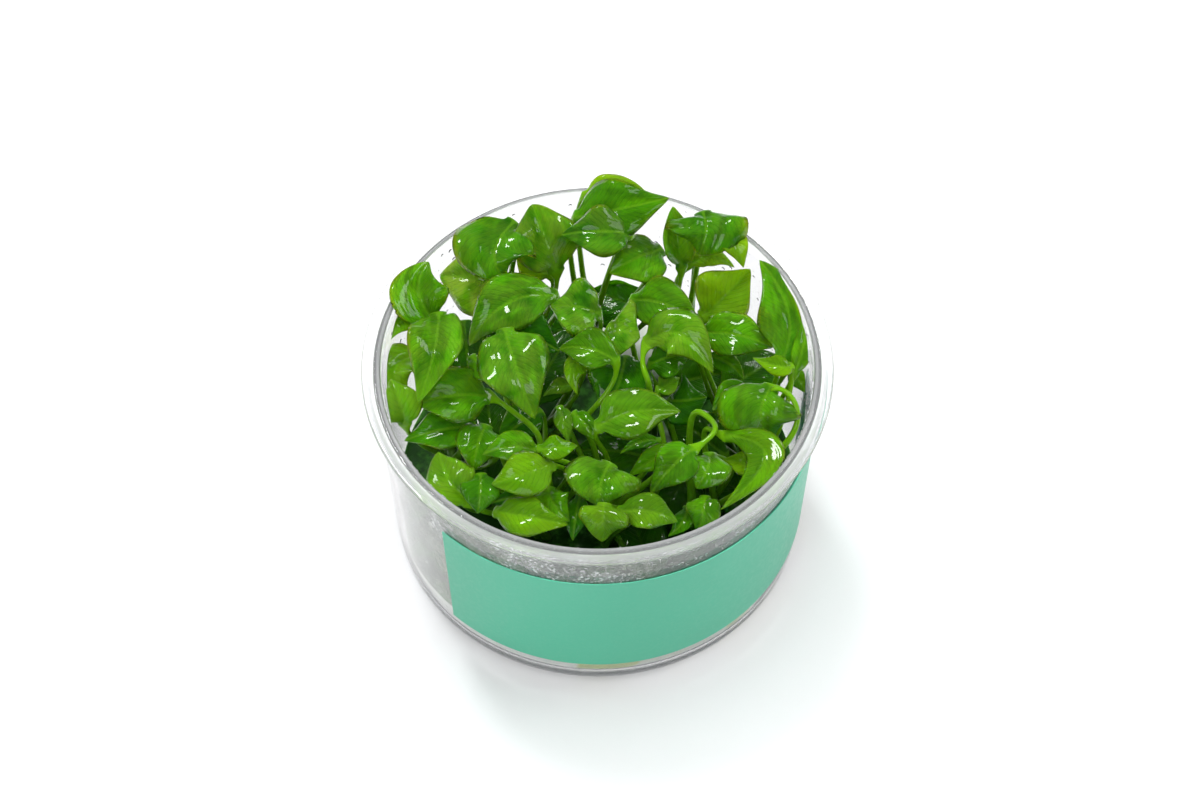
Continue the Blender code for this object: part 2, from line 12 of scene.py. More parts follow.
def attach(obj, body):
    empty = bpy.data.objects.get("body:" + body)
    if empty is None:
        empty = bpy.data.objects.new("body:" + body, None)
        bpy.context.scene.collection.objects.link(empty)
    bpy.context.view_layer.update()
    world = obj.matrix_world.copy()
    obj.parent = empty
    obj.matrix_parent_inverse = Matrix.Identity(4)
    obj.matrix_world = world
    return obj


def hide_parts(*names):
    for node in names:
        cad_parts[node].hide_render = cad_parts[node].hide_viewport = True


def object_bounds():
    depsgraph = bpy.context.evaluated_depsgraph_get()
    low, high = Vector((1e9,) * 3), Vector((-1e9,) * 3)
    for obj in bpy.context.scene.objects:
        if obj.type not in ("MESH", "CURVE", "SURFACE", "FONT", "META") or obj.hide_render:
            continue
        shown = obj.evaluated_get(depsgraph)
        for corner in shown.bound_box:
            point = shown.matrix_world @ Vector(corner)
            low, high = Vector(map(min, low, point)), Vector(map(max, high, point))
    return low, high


bl_info = {
    "name": "Tissue culture cup",
    "version": (1, 0, 0),
    "blender": (4, 5, 0),
    "location": "View3D > Sidebar > Culture cup",
    "description": "Builds the detailed leaves, shoots, gel, cup and label of a tissue culture cup",
    "category": "Object",
}

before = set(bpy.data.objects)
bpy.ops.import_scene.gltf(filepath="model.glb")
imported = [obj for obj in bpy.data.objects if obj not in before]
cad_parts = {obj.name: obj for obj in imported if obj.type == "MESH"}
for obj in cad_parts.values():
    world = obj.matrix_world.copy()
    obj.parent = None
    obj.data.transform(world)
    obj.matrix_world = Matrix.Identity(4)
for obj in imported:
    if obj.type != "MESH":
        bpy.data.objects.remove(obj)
CAD_LOW, CAD_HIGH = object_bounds()

# Lengths below are in millimetres until they are written to a mesh
MM = 0.001

# Jar
RIM_TOP = 57.5
RIM_UNDER = 56.7
WALL = 1.5
WALL_LOW_RADIUS = 45.8
WALL_LOW_Z = 3.8
WALL_TOP_RADIUS = 47.5
FOOT_RADIUS = 42.0
FLOOR = 1.8
MOUTH_RADIUS = 45.9

# Label, as angles turned from the front towards the right
LABEL_START_DEG = -43.0
LABEL_END_DEG = 98.0
LABEL_BOTTOM = 9.0
LABEL_TOP = 45.0

# Gel and stems
GEL_TOP = 11.0
STEM_BOTTOM = 7.0
STEM_TOP = 21.0
STEM_LOW_RADIUS = 1.9
STEM_HIGH_RADIUS = 1.2
STEM_SIDES = 8
STEM_REACH = STEM_LOW_RADIUS + 1.3

# Leaf sections
BLADE_THICK = 0.7
BROAD_WIDTH = 9.0
YOUNG_STEPS = (0.22, 0.6, 1.0)
NARROW_STEPS = (0.16, 0.44, 0.76, 1.0)
BROAD_STEPS = (0.13, 0.36, 0.64, 0.86, 1.0)
PETIOLE_LOW_RADIUS = 0.85
PETIOLE_HIGH_RADIUS = 0.6
TIP_HALF = 0.2
MARGIN_DROOP = 0.22
WALL_ROOM = 0.85

# Search for clear places
CLEARANCE = 0.3
LIFT_STEP = 0.5
MOST_LIFTS = 40
SHARPEST_BEND = -0.25

# Leaf points were read on a level plane at READ_Z, as seen from EYE
EYE = Vector((0.55, -331.4, 529.0))
READ_Z = 52.0
FACE = Vector((0.0, -0.35, 0.94))
UP = Vector((0.0, 0.0, 1.0))

# Small leaves low in the tuft, each under a dark gap between the others
LOW_Z = 37.0
LOW_LENGTH = 18.0
LOW_WIDTH = 11.0
LOW_DROOP = 2.5
LOW_FOOT = 0.5
LOW_TURNS = (0, 45, -45, 90, -90, 135, -135, 180)
MOST_DROPS = 22
LOW_SPOTS = [
    (3.5, -19), (8.8, -40.8), (-28, 6.5), (-22.8, -10.8), (33.5, 1.2), (3, 21), (20, -13.8),
    (-10.8, 1.2), (15.5, -30.2), (22.2, -0.2), (-5.5, -24.2), (-23.5, -23.5), (-9.5, 11), (28.2, -28),
]

# Spaces that stay open between the low leaves, from corner to corner
OPEN_SPACES = [
    ((-13.5, -42, 12), (13, -37, 62)), ((-12, -40, 11.5), (4, -24, 40)), ((-6, 18, 11.5), (6, 30, 50)),
]

# Where each stem stands on the gel
SHOOTS = {
    "a": (-21.0, 27.0), "b": (-1.0, 33.0), "c": (20.0, 29.0), "d": (-33.0, 3.0),
    "e": (-13.0, 7.0), "f": (33.0, 1.0), "g": (-13.0, -14.0), "h": (2.0, -15.0),
    "i": (23.0, -15.0), "j": (10.0, 9.0),
}

Leaf = namedtuple("Leaf", "name shoot base mid tip width fold roll route")


def leaf(name, shoot, base, mid, tip, width, fold=12, roll=0, route=()):
    return Leaf(name, shoot, base, mid, tip, width, fold, roll, route)


# From the lowest up. A young leaf is one piece with its stem, and the others are pieces of their own
LEAVES = [
    leaf("young_01", "g", (-12.5, -29.5, 42), (-17.5, -30.5, 43.5), (-22, -32, 42), 4.0),
    leaf("young_02", "g", (-12, -9, 43), (-16.5, -12.5, 45), (-21, -17, 43), 8.0),
    leaf("young_03", "e", (-4.5, -2.5, 42), (-8, -2.6, 44), (-11.5, -5.2, 42), 3.6),
    leaf("young_04", "h", (-3.5, -30, 43), (-4.5, -35.5, 44), (-5, -41, 41), 5.0),
    leaf("young_05", "h", (13, -16.5, 42), (9, -16.8, 44), (4.8, -19.7, 42), 3.0),
    leaf("young_06", "i", (18.5, -33, 42), (17.5, -36.5, 43.5), (14.5, -40, 41), 4.0),
    leaf("young_07", "i", (33, -23.5, 43), (30, -22, 45), (26.4, -21.3, 44), 5.0),
    leaf("young_08", "f", (41, 1.5, 45), (43, -1, 46.5), (44.3, -4.5, 44), 4.0),
    leaf("young_09", "a", (-10, 27, 44), (-14, 31, 47), (-18, 35, 48), 7.0),
    leaf("young_10", "h", (-8, -8, 46), (-7, -12, 47), (-6, -17, 45), 4.0),
    leaf("young_11", "h", (-5, -9.5, 47), (-2.5, -12.5, 48), (-0.5, -16.5, 46), 4.5),
    leaf("young_12", "c", (20, 29.5, 50), (25, 32, 53), (30, 29, 51), 3.5, route=((17, 22.7, 44),)),
    leaf("young_13", "f", (23.5, 5.5, 46), (28, 3.3, 48), (31.2, -0.8, 45), 4.6),
    leaf("young_14", "f", (32, -4, 49), (28, -4.2, 50), (24.3, -9, 47), 5.0),
    leaf("young_15", "j", (0.5, 10.5, 51), (3, 7.5, 52), (4.5, 3.2, 49), 4.0),
    leaf("young_16", "b", (-3, 49, 60), (4, 51.2, 63), (11, 50, 62), 5.0),
    leaf("young_17", "c", (25.5, 41, 59.5), (29.9, 36.4, 60.5), (32, 29, 56), 5.0),
    leaf("young_18", "d", (-36.5, 17.5, 51), (-41.8, 15.2, 54), (-44.6, 9.5, 53.5), 6.0),
    leaf("leaf_01", "c", (23, 15.6, 46), (28, 21.5, 50), (33.5, 28.5, 53), 11.5, 25),
    leaf("leaf_02", "i", (15.2, -6.2, 42.5), (18.5, -6.3, 45), (23.2, -5.4, 44.5), 11.0),
    leaf("leaf_03", "j", (6, 5, 46), (4.5, -2, 47.5), (1.5, -11, 43), 14.0),
    leaf("leaf_04", "d", (-38, 5, 48), (-43.3, 2, 51.5), (-40, -6, 48), 10.0),
    leaf("leaf_05", "a", (-19, 25, 48), (-27, 26, 52), (-34.5, 27, 50), 14.0),
    leaf("leaf_06", "e", (-24, 13, 51), (-15.5, 11, 53.5), (-8.3, 6.5, 51), 12.0),
    leaf("leaf_07", "a", (-9, 28, 50), (-12, 38, 57), (-14.6, 46.6, 60), 12.5, 30),
    leaf("leaf_08", "a", (-18.5, 41.6, 58), (-22.6, 33.2, 59), (-20, 25.5, 54), 14.0),
    leaf("leaf_09", "d", (-35, 14.5, 51), (-39, 22.5, 56), (-37, 30.5, 58), 12.0, 30),
    leaf("leaf_10", "b", (-5, 42.8, 59), (4, 45, 62), (16, 48.5, 60), 11.0),
    leaf("leaf_11", "b", (7.3, 38.3, 58), (0, 39, 61), (-8, 38, 58), 8.5),
    leaf("leaf_12", "b", (14, 34, 53), (8.5, 31.5, 56), (2.5, 27.5, 54), 9.8),
    leaf("leaf_13", "c", (18.5, 29, 51), (17.5, 38, 58), (16.8, 46, 61), 6.5, 40),
    leaf("leaf_14", "c", (23.4, 44.2, 60), (24, 39, 61), (22.3, 32.4, 56), 13.5),
    leaf("leaf_15", "f", (39.5, 4, 52), (41.3, 17, 56), (35.6, 31, 59), 12.5),
    leaf("young_19", "f", (42, 0.5, 51), (44.2, 8, 55), (44.2, 15, 56), 4.5),
    leaf("young_20", "f", (41.5, 2.8, 54), (38.5, 2.7, 55), (33.3, 4.8, 53), 4.5),
    leaf("leaf_16", "a", (-9, 21, 54), (-20, 19, 57), (-27.5, 8, 50), 11.5),
    leaf("leaf_17", "d", (-26, -13, 45), (-33, -13.8, 47.5), (-40.5, -16.5, 45), 8.5),
    leaf("leaf_18", "g", (-23, -5.3, 50), (-30.5, -5, 53), (-38.8, -7.2, 50), 12.0,
         route=((-11.5, -17, 44), (-17.5, -9.5, 48))),
    leaf("young_21", "e", (-27, 5, 52), (-23.5, 1.8, 54), (-18.7, -1.4, 52), 6.0),
    leaf("leaf_19", "d", (-34.5, 16.5, 56), (-35, 7, 59), (-38, -7, 54), 12.0, 25),
    leaf("leaf_20", "d", (-40.5, -12.3, 48), (-41.8, -7, 52.5), (-44, -0.8, 53.5), 9.0),
    leaf("leaf_21", "g", (-23.5, -12.8, 47), (-25, -17.5, 49), (-26, -24, 46), 10.0),
    leaf("leaf_22", "g", (-26.5, -31.5, 46), (-31, -26, 48), (-33.2, -19.3, 47), 11.0),
    leaf("leaf_23", "g", (-24.3, -25, 49), (-24.3, -29.5, 50), (-24.7, -34.5, 46), 8.0),
    leaf("leaf_24", "g", (-12.8, -19, 50), (-18, -18, 52), (-24, -20, 50), 7.0),
    leaf("leaf_25", "g", (-9.5, -22.5, 49), (-15.5, -25, 52), (-22, -27.3, 49), 9.5),
    leaf("leaf_26", "g", (-12.3, -18.5, 53), (-8.3, -18.2, 54), (-4.2, -17.8, 52), 5.0),
    leaf("leaf_27", "g", (-10, -28.3, 46), (-9, -32, 47.5), (-5.7, -36.4, 45), 7.5),
    leaf("leaf_28", "g", (-21, -34, 46), (-14, -35.3, 49.5), (-6, -37.2, 47), 8.2),
    leaf("leaf_29", "h", (2.5, -22.3, 48), (0.8, -27, 50), (0.5, -33, 46), 15.5),
    leaf("leaf_30", "h", (1.5, -32.3, 50), (1.2, -36, 50), (1, -41.3, 43), 10.0),
    leaf("leaf_31", "h", (4.5, -34, 49), (11, -34, 51), (16.5, -36.5, 47), 7.5),
    leaf("leaf_32", "i", (22.3, -30.5, 47), (21.8, -34, 47.5), (20.5, -39, 42), 7.0),
    leaf("young_22", "h", (16.3, -19.5, 46), (12, -21, 48), (6.4, -25.4, 45), 5.5),
    leaf("leaf_33", "i", (20, -18.8, 52), (16, -22.5, 53), (11, -29.5, 47), 9.0,
         route=((19.2, -9.8, 47.5), (24, -11.2, 51), (24.8, -14.5, 53))),
    leaf("leaf_34", "i", (23.5, -19.8, 48), (22.8, -24, 51), (20.5, -28.4, 48), 9.5),
    leaf("leaf_36", "f", (37, -3, 54), (34.5, -10, 53), (36.4, -19.3, 41), 17.0,
         route=((35.9, -21.6, 45), (41.6, -14.5, 49.5), (42.4, -8.5, 54), (40.5, -4.2, 56))),
    leaf("leaf_35", "i", (27, -15.3, 47), (35, -20.5, 51), (25.5, -33.5, 46), 8.0,
         route=((22.3, -14.6, 42),)),
    leaf("leaf_37", "f", (22, 11.5, 51), (30, 10.8, 54), (37.8, 7.5, 51), 9.6),
    leaf("leaf_38", "j", (2.4, 12.8, 51), (5.6, 11.8, 53), (9.2, 10, 51.5), 13.0),
    leaf("leaf_39", "e", (0.2, 4.2, 52.5), (-4.8, 2.2, 53), (-4.2, -4.8, 49), 5.0),
    leaf("leaf_40", "e", (4, 4, 55), (-2, 7.3, 57), (-8.3, 7, 54), 8.6),
    leaf("leaf_41", "e", (0.4, 16.4, 54.5), (-4.5, 18.3, 58), (-10.3, 18.6, 55), 11.5),
    leaf("leaf_42", "j", (7.4, 19.9, 54), (14.5, 19.2, 57.5), (21.9, 14.2, 55), 10.0),
    leaf("leaf_43", "j", (11.3, 3.2, 50), (15.5, 5, 53), (20, 6.3, 52), 9.0),
    leaf("leaf_44", "j", (10.8, 8.6, 54), (18, 11, 58.5), (24.7, 0.7, 53), 11.0,
         route=((11.3, -4.2, 48), (9.6, 3, 52))),
    leaf("young_23", "h", (12.9, -3.4, 47.3), (15.1, -2, 48.6), (17.5, -0.4, 48.3), 4.5),
    leaf("leaf_45", "h", (0.2, -13, 53), (8, -9.2, 56.5), (17.6, -9, 53), 10.8),
    leaf("leaf_46", "e", (-20, 12.2, 58), (-17.5, 2.5, 60), (-13.2, -11, 52), 14.5),
]


def seen(point):
    """Carry a read point along its line of sight from the reading plane to its own height."""
    k = (EYE.z - point[2]) / (EYE.z - READ_Z)
    return Vector((EYE.x + (point[0] - EYE.x) * k, EYE.y + (point[1] - EYE.y) * k, point[2]))


def wall_radius(z, top=WALL_TOP_RADIUS, low=WALL_LOW_RADIUS):
    """Radius of the outer wall at a height."""
    return low + (top - low) * (z - WALL_LOW_Z) / (RIM_UNDER - WALL_LOW_Z)


def keep_inside(point):
    """Press a point that would pass through the wall back against it."""
    most = wall_radius(point.z) - WALL - WALL_ROOM
    reach = math.hypot(point.x, point.y)
    if point.z > RIM_TOP + 1.0 or reach <= most:
        return point
    return Vector((point.x * most / reach, point.y * most / reach, point.z))


def is_young(item):
    """Whether the leaf is still one piece with its stem."""
    return item.name.startswith(("young", "low"))


# Leaf geometry

def axis_point(ends, s):
    base, mid, tip = ends
    return base * ((1 - s) * (1 - 2 * s)) + mid * (4 * s * (1 - s)) + tip * (s * (2 * s - 1))


def axis_slope(ends, s):
    base, mid, tip = ends
    return (base * (4 * s - 3) + mid * (4 - 8 * s) + tip * (4 * s - 1)).normalized()


def blade_frame(ends, s, roll):
    """The blade's right hand and its upper side at a share of its length."""
    slope = axis_slope(ends, s)
    normal = (FACE - slope * FACE.dot(slope)).normalized()
    normal.rotate(Quaternion(slope, math.radians(roll)))
    return slope.cross(normal), normal


def outline(s):
    """Half width of the blade at a share of its length, as a share of the widest."""
    return math.sin(math.pi * s ** 0.78) ** 0.72 if 0 < s < 1 else 0.0


def blade_ring(item, ends, s, grow=0.0):
    """Eight points round the blade: its two margins, and three each above and below."""
    side, normal = blade_frame(ends, s, item.roll)
    center = axis_point(ends, s)
    half = max(item.width / 2 * outline(s), TIP_HALF) + grow
    fold = math.radians(item.fold)
    thick = BLADE_THICK / 2 * min(1.0, 0.35 + 4 * (1 - s)) + grow

    def skin(u, up):
        lift = half * (abs(u) * math.sin(fold) - u * u * MARGIN_DROOP)
        flat = keep_inside(center + side * (u * half * math.cos(fold)) + normal * lift)
        return flat + normal * up

    above = [skin(u, thick * (1 - 0.3 * abs(u))) for u in (-0.5, 0, 0.5)]
    below = [skin(u, -thick * (1 - 0.3 * abs(u))) for u in (0.5, 0, -0.5)]
    return [skin(-1, 0)] + above + [skin(1, 0)] + below


def round_ring(center, side, normal, radius):
    """Eight points round a petiole, in the order that a blade ring has."""
    turns = [math.pi - k * math.pi / 4 for k in range(8)]
    return [center + side * (radius * math.cos(a)) + normal * (radius * math.sin(a)) for a in turns]


def through(points, start, end, share):
    """A point of the smooth curve through these points, and its direction there."""
    count = len(points) - 1
    span = min(int(share * count), count - 1)
    t = share * count - span
    p, q = points[span], points[span + 1]
    reach = (q - p).length
    leave = start * reach if span == 0 else (q - points[span - 1]) / 2
    arrive = end * reach if span == count - 1 else (points[span + 2] - p) / 2
    spot = (p * (2 * t ** 3 - 3 * t ** 2 + 1) + leave * (t ** 3 - 2 * t ** 2 + t)
            + q * (3 * t ** 2 - 2 * t ** 3) + arrive * (t ** 3 - t ** 2))
    way = (p * (6 * t * t - 6 * t) + leave * (3 * t * t - 4 * t + 1)
           + q * (6 * t - 6 * t * t) + arrive * (3 * t * t - 2 * t))
    return spot, way.normalized()


def arrival(item, ends):
    """The direction in which the stalk reaches its blade."""
    slope = axis_slope(ends, 0)
    return slope if item.route else (slope * 0.5 + UP).normalized()


def petiole_rings(item, ends, points, grow=0.0):
    """Rings of the leaf stalk from the stem up, without the one that the blade starts with."""
    start = (UP + (points[1] - points[0]).normalized()).normalized()
    end = arrival(item, ends)
    steps = 2 if len(points) == 3 else 2 * (len(points) - 1)
    _, normal = blade_frame(ends, 0, item.roll)
    rings = []
    for k in reversed(range(steps)):
        center, way = through(points, start, end, k / steps)
        normal = (normal - way * normal.dot(way)).normalized()
        radius = PETIOLE_LOW_RADIUS + (PETIOLE_HIGH_RADIUS - PETIOLE_LOW_RADIUS) * k / steps
        rings.append(round_ring(center, way.cross(normal), normal, radius + grow))
    return rings[::-1]


def blade_rings(item, ends, grow=0.0, from_below=UP):
    """Rings of the blade, of which the first is round and leans back to meet the stalk."""
    side, _ = blade_frame(ends, 0, item.roll)
    lean = (axis_slope(ends, 0) + from_below).normalized()
    side = (side - lean * lean.dot(side)).normalized()
    first = round_ring(ends[0], side, side.cross(lean), PETIOLE_HIGH_RADIUS + grow)
    steps = BROAD_STEPS if item.width > BROAD_WIDTH else NARROW_STEPS
    if is_young(item):
        steps = YOUNG_STEPS
    return [first] + [blade_ring(item, ends, s, grow) for s in steps]


def last_chord(stalk, ends):
    """The direction from the stalk's last ring to the foot of the blade."""
    return (ends[0] - sum(stalk[-1], Vector()) / len(stalk[-1])).normalized()


def loft(rings):
    """Points and faces of the closed skin through rings of equal size."""
    size = len(rings[0])
    points = [p for ring in rings for p in ring]
    faces = [tuple(range(size))[::-1], tuple(range(len(points) - size, len(points)))]
    for i in range(len(rings) - 1):
        for j in range(size):
            k = (j + 1) % size
            faces.append((i * size + j, i * size + k, (i + 1) * size + k, (i + 1) * size + j))
    return points, faces


def tree_of(shapes):
    points, faces = [], []
    for shape_points, shape_faces in shapes:
        faces += [tuple(i + len(points) for i in face) for face in shape_faces]
        points += shape_points
    return BVHTree.FromPolygons(points, faces)


# Where each leaf comes to rest

def settled_ends():
    """Raise each blade along the line of sight until it clears those laid before it."""
    laid, found = [], {}
    for item in LEAVES:
        for step in range(MOST_LIFTS):
            lift = UP * (step * LIFT_STEP)
            ends = [seen(Vector(p) + lift) for p in (item.base, item.mid, item.tip)]
            fat = loft(blade_rings(item, ends, CLEARANCE))
            if not laid or not tree_of([fat]).overlap(tree_of(laid)):
                break
        else:
            raise RuntimeError(f"{item.name} finds no clear height")
        found[item.name] = ends, step * LIFT_STEP
        laid.append(loft(blade_rings(item, ends)))
    return found


def petiole_ways(item, ends, lift):
    """The stalk's possible courses from its stem to its blade, the straightest first."""
    x, y = SHOOTS[item.shoot]
    base = ends[0]
    ahead = math.atan2(base.y - y, base.x - x)
    fixed = [seen(Vector(p) + UP * lift) for p in item.route]
    side = Vector((-math.sin(ahead), math.cos(ahead), 0))
    bows = (0,) if fixed else (0, 3, -3, 6, -6, 9, -9)
    behind = axis_slope(ends, 0)
    for back in (2.0, 5.0, 0.0, 8.0, -3.0):
        for bow in bows:
            for turn in (0, 30, -30, 60, -60, 100, -100, 150, -150):
                for height in (19.5, 15.5, 17.5, 13.5):
                    a = ahead + math.radians(turn)
                    out = LOW_FOOT if item.name.startswith("low") else 0.0 if is_young(item) else STEM_REACH
                    foot = Vector((x + out * math.cos(a), y + out * math.sin(a), height))
                    mid = foot.lerp(base, 0.6) + side * bow - behind * back
                    yield [foot] + (fixed or [mid]) + [base]


def upright_shape(x, y, ends):
    """A round piece standing at a spot, from its height and radius at each end."""
    turns = [2 * math.pi * (k + 0.3) / STEM_SIDES for k in range(STEM_SIDES)]
    return loft([[Vector((x + r * math.cos(a), y + r * math.sin(a), z)) for a in turns] for z, r in ends])


def box_shape(low, high):
    xs, ys, zs = zip(low, high)
    points = [Vector((x, y, z)) for x in xs for y in ys for z in zs]
    return points, [(0, 1, 3, 2), (4, 6, 7, 5), (0, 4, 5, 1), (2, 3, 7, 6), (0, 2, 6, 4), (1, 5, 7, 3)]


def stem_shape(x, y):
    return upright_shape(x, y, ((STEM_BOTTOM, STEM_LOW_RADIUS), (STEM_TOP, STEM_HIGH_RADIUS)))


def past_stem(rings):
    """The same rings, but starting where the stalk has left its stem."""
    way = (sum(rings[1], Vector()) - sum(rings[0], Vector())).length / len(rings[0])
    share = min(1.0, STEM_REACH / way)
    return [[a.lerp(b, share) for a, b in zip(rings[0], rings[1])]] + rings[1:]


def clear_course(item, ends, lift, blocked, strangers=None):
    """The first course of the stalk that keeps clear of what blocks it, with the stalk's shape."""
    for points in petiole_ways(item, ends, lift):
        stalk = petiole_rings(item, ends, points, CLEARANCE)
        chord = last_chord(stalk, ends)
        if chord.dot(axis_slope(ends, 0)) < SHARPEST_BEND:
            continue
        rings = stalk + blade_rings(item, ends, CLEARANCE, chord)[:1]
        free = loft(past_stem(rings) if strangers else rings[1:] if is_young(item) else rings)
        if strangers and tree_of([loft(rings)]).overlap(strangers):
            continue
        if all(stays_in(ring) for ring in rings) and not tree_of([free]).overlap(blocked):
            stalk = petiole_rings(item, ends, points)
            return points, loft(stalk + blade_rings(item, ends, 0.0, last_chord(stalk, ends))[:1])
    return None, None


def routed_petioles(settled):
    """Give each leaf a course that clears the other leaves, their stalks and the stems."""
    stems = {key: stem_shape(*spot) for key, spot in SHOOTS.items()}
    blades = {item.name: loft(blade_rings(item, settled[item.name][0])) for item in LEAVES}
    stalks, found, taken = [], {}, []
    for item in sorted(LEAVES, key=lambda one: not one.route):
        ends, lift = settled[item.name]
        own = item.shoot if is_young(item) else ""
        others = [shape for name, shape in blades.items() if name != item.name]
        others += [shape for key, shape in stems.items() if key != own]
        points, stalk = clear_course(item, ends, lift, tree_of(others + stalks))
        if not points:
            raise RuntimeError(f"{item.name} finds no clear way to its stem")
        found[item.name] = points
        stalks.append(stalk)
        taken += [(own, stalk), (own, blades[item.name])]
    return found, taken, stems


def low_leaf(name, spot, turn, drop):
    """A small leaf under a gap and its three axis points, turned from the way out of the nearest shoot."""
    center = seen((*spot, LOW_Z - drop))
    key = min(SHOOTS, key=lambda one: math.dist(SHOOTS[one], center[:2]))
    way = math.atan2(center.y - SHOOTS[key][1], center.x - SHOOTS[key][0]) + math.radians(turn)
    ahead = Vector((math.cos(way), math.sin(way), 0)) * (LOW_LENGTH / 2)
    ends = [center - ahead - UP * LOW_DROOP / 2, center, center + ahead - UP * LOW_DROOP]
    return leaf(name, key, None, None, None, LOW_WIDTH), ends


def placed_low_leaf(name, spot, taken, stems):
    """The highest place and first turn in which a low leaf and its stalk are clear of the taken shapes."""
    everything = [shape for _, shape in taken]
    whole = tree_of(everything + list(stems.values()))
    for step in range(MOST_DROPS):
        for turn in LOW_TURNS:
            item, ends = low_leaf(name, spot, turn, step)
            fat = tree_of([loft(blade_rings(item, ends, CLEARANCE))])
            if fat.overlap(whole):
                continue
            others = [shape for key, shape in stems.items() if key != item.shoot]
            strangers = tree_of(others + [shape for key, shape in taken if key != item.shoot])
            points, stalk = clear_course(item, ends, 0.0, tree_of(everything + others), strangers)
            if points:
                return item, ends, points, stalk
    raise RuntimeError(f"{name} finds no clear place")


def grown_leaves():
    """Each leaf with its three axis points and the course of its stalk."""
    settled = settled_ends()
    courses, taken, stems = routed_petioles(settled)
    taken += [("", box_shape(*space)) for space in OPEN_SPACES]
    grown = [(item, settled[item.name][0], courses[item.name]) for item in LEAVES]
    for number, spot in enumerate(LOW_SPOTS, 1):
        item, ends, points, stalk = placed_low_leaf(f"low_{number:02d}", spot, taken, stems)
        grown.append((item, ends, points))
        taken += [(item.shoot, loft(blade_rings(item, ends))), (item.shoot, stalk)]
    return grown


def stays_in(ring):
    return all(p.z > RIM_TOP or math.hypot(p.x, p.y) < wall_radius(p.z) - WALL - 0.3 for p in ring)


# Fine shapes

RING = 32
BLADE_ROWS = 34
PETIOLE_ROWS = 26
STEM_ROWS = 24
EASE_PASSES = 8
BLADE_FINE = 0.2
THINNEST_HALF = 0.06
ROOT_OF_BLADE = 0.5

# The blade runs a little way down its stalk
WING_LENGTH = 3.2
WING_MOST = 1.5
WING_SHARE = 0.11

# Form of a blade, as shares of its half width
FULLNESS = 1.04
BASE_NARROWING = 0.2
TIP_NARROWING = 0.38
UNEVENNESS = 0.07
MARGIN_WAVE = 0.17
PUCKER = 0.1
HALF_ARCH = 0.05
FOLD_GAIN = 1.4

# The midrib sinks in above and stands out below
RIB_HALF = 0.42
RIB_GROOVE = 0.16
RIB_KEEL = 0.3

# Blades are a little wider than their solids, and wider still at the back of the tuft
WIDTH_GAIN = 1.04
BACK_GAIN = 0.28
BACK_FROM = 8
BACK_SPAN = 22

# Marks along the leaf are distances from the foot of its blade, and those of the stalk are below zero
STALK_MARK = -20.0

# Side veins, in millimetres
VEIN_SPACING = 0.75
VEIN_SLANT = 1.15

# Cup, gel and label in fine
INNER_CORNER = 3.8
MOUTH_DEPTH = 1.8
ARC_STEPS = 8
WALL_ROWS = 14
HOLLOW = 0.25
GEL_PLAY = 0.1
GEL_CORNER = 3.7
LABEL_COLUMNS = 96

# The rim's top, as steps out from the mouth and down from the highest point, and then in from its edge
RIM_STEPS = (
    (0, 1.0), (0.1, 0.45), (0.3, 0.12), (0.55, 0), (0.8, 0.08), (1.0, 0.3), (1.3, 0.42), (1.6, 0.35),
    (1.85, 0.1), (2.1, 0.02), (2.35, 0.08), (2.6, 0.2),
)
EDGE_STEPS = ((0.5, 0.28), (0.18, 0.34), (0.03, 0.45), (0, 0.58), (0.03, 0.7))

# Condensation. Each band of drops has heights, rows, angles, a seed and the values that its tree takes
FOG_BAND = (12, 56)
FOG_GAPS = (0.03, 0.08)
FOG_ROWS = 20
DROPS_GAP = 0.02
DROPS_COLUMNS = 90
DROP_VALUES = ("Density", "Smallest", "Largest", "Height")
DROPS = (
    ("drops_front", 45, 56.2, 6, -75, 75, 11, (900000.0, 0.00011, 0.00055, 0.55)),
    ("drops_edge", 54.4, 56.6, 2, -85, 85, 31, (2600000.0, 0.00014, 0.0004, 0.7)),
    ("drops_round", 30, 56.2, 6, 75, 285, 23, (140000.0, 0.0001, 0.0005, 0.5)),
)

# Stage, in metres. Each lamp has a place, a width and a share of the key light's power
FLOOR_REACH = 6.0
MIRRORED_FILL = 0.12
LAMP_TARGET = Vector((0, 0, 0.04))
LAMPS = (
    ("key", (-0.22, 0.40, 0.80), 0.2, 1.0),
    ("overhead", (0.15, -0.1, 1.2), 1.4, 1.5),
    ("side", (0.8, 0.15, 0.55), 0.35, 0.5),
    ("front", (-0.35, -0.85, 0.6), 0.5, 0.6),
)
CAMERA_PLACE = (0.000553, -0.331425, 0.528972)
CAMERA_DOWN_DEG = 55.709
CAMERA_LENS = 81.70

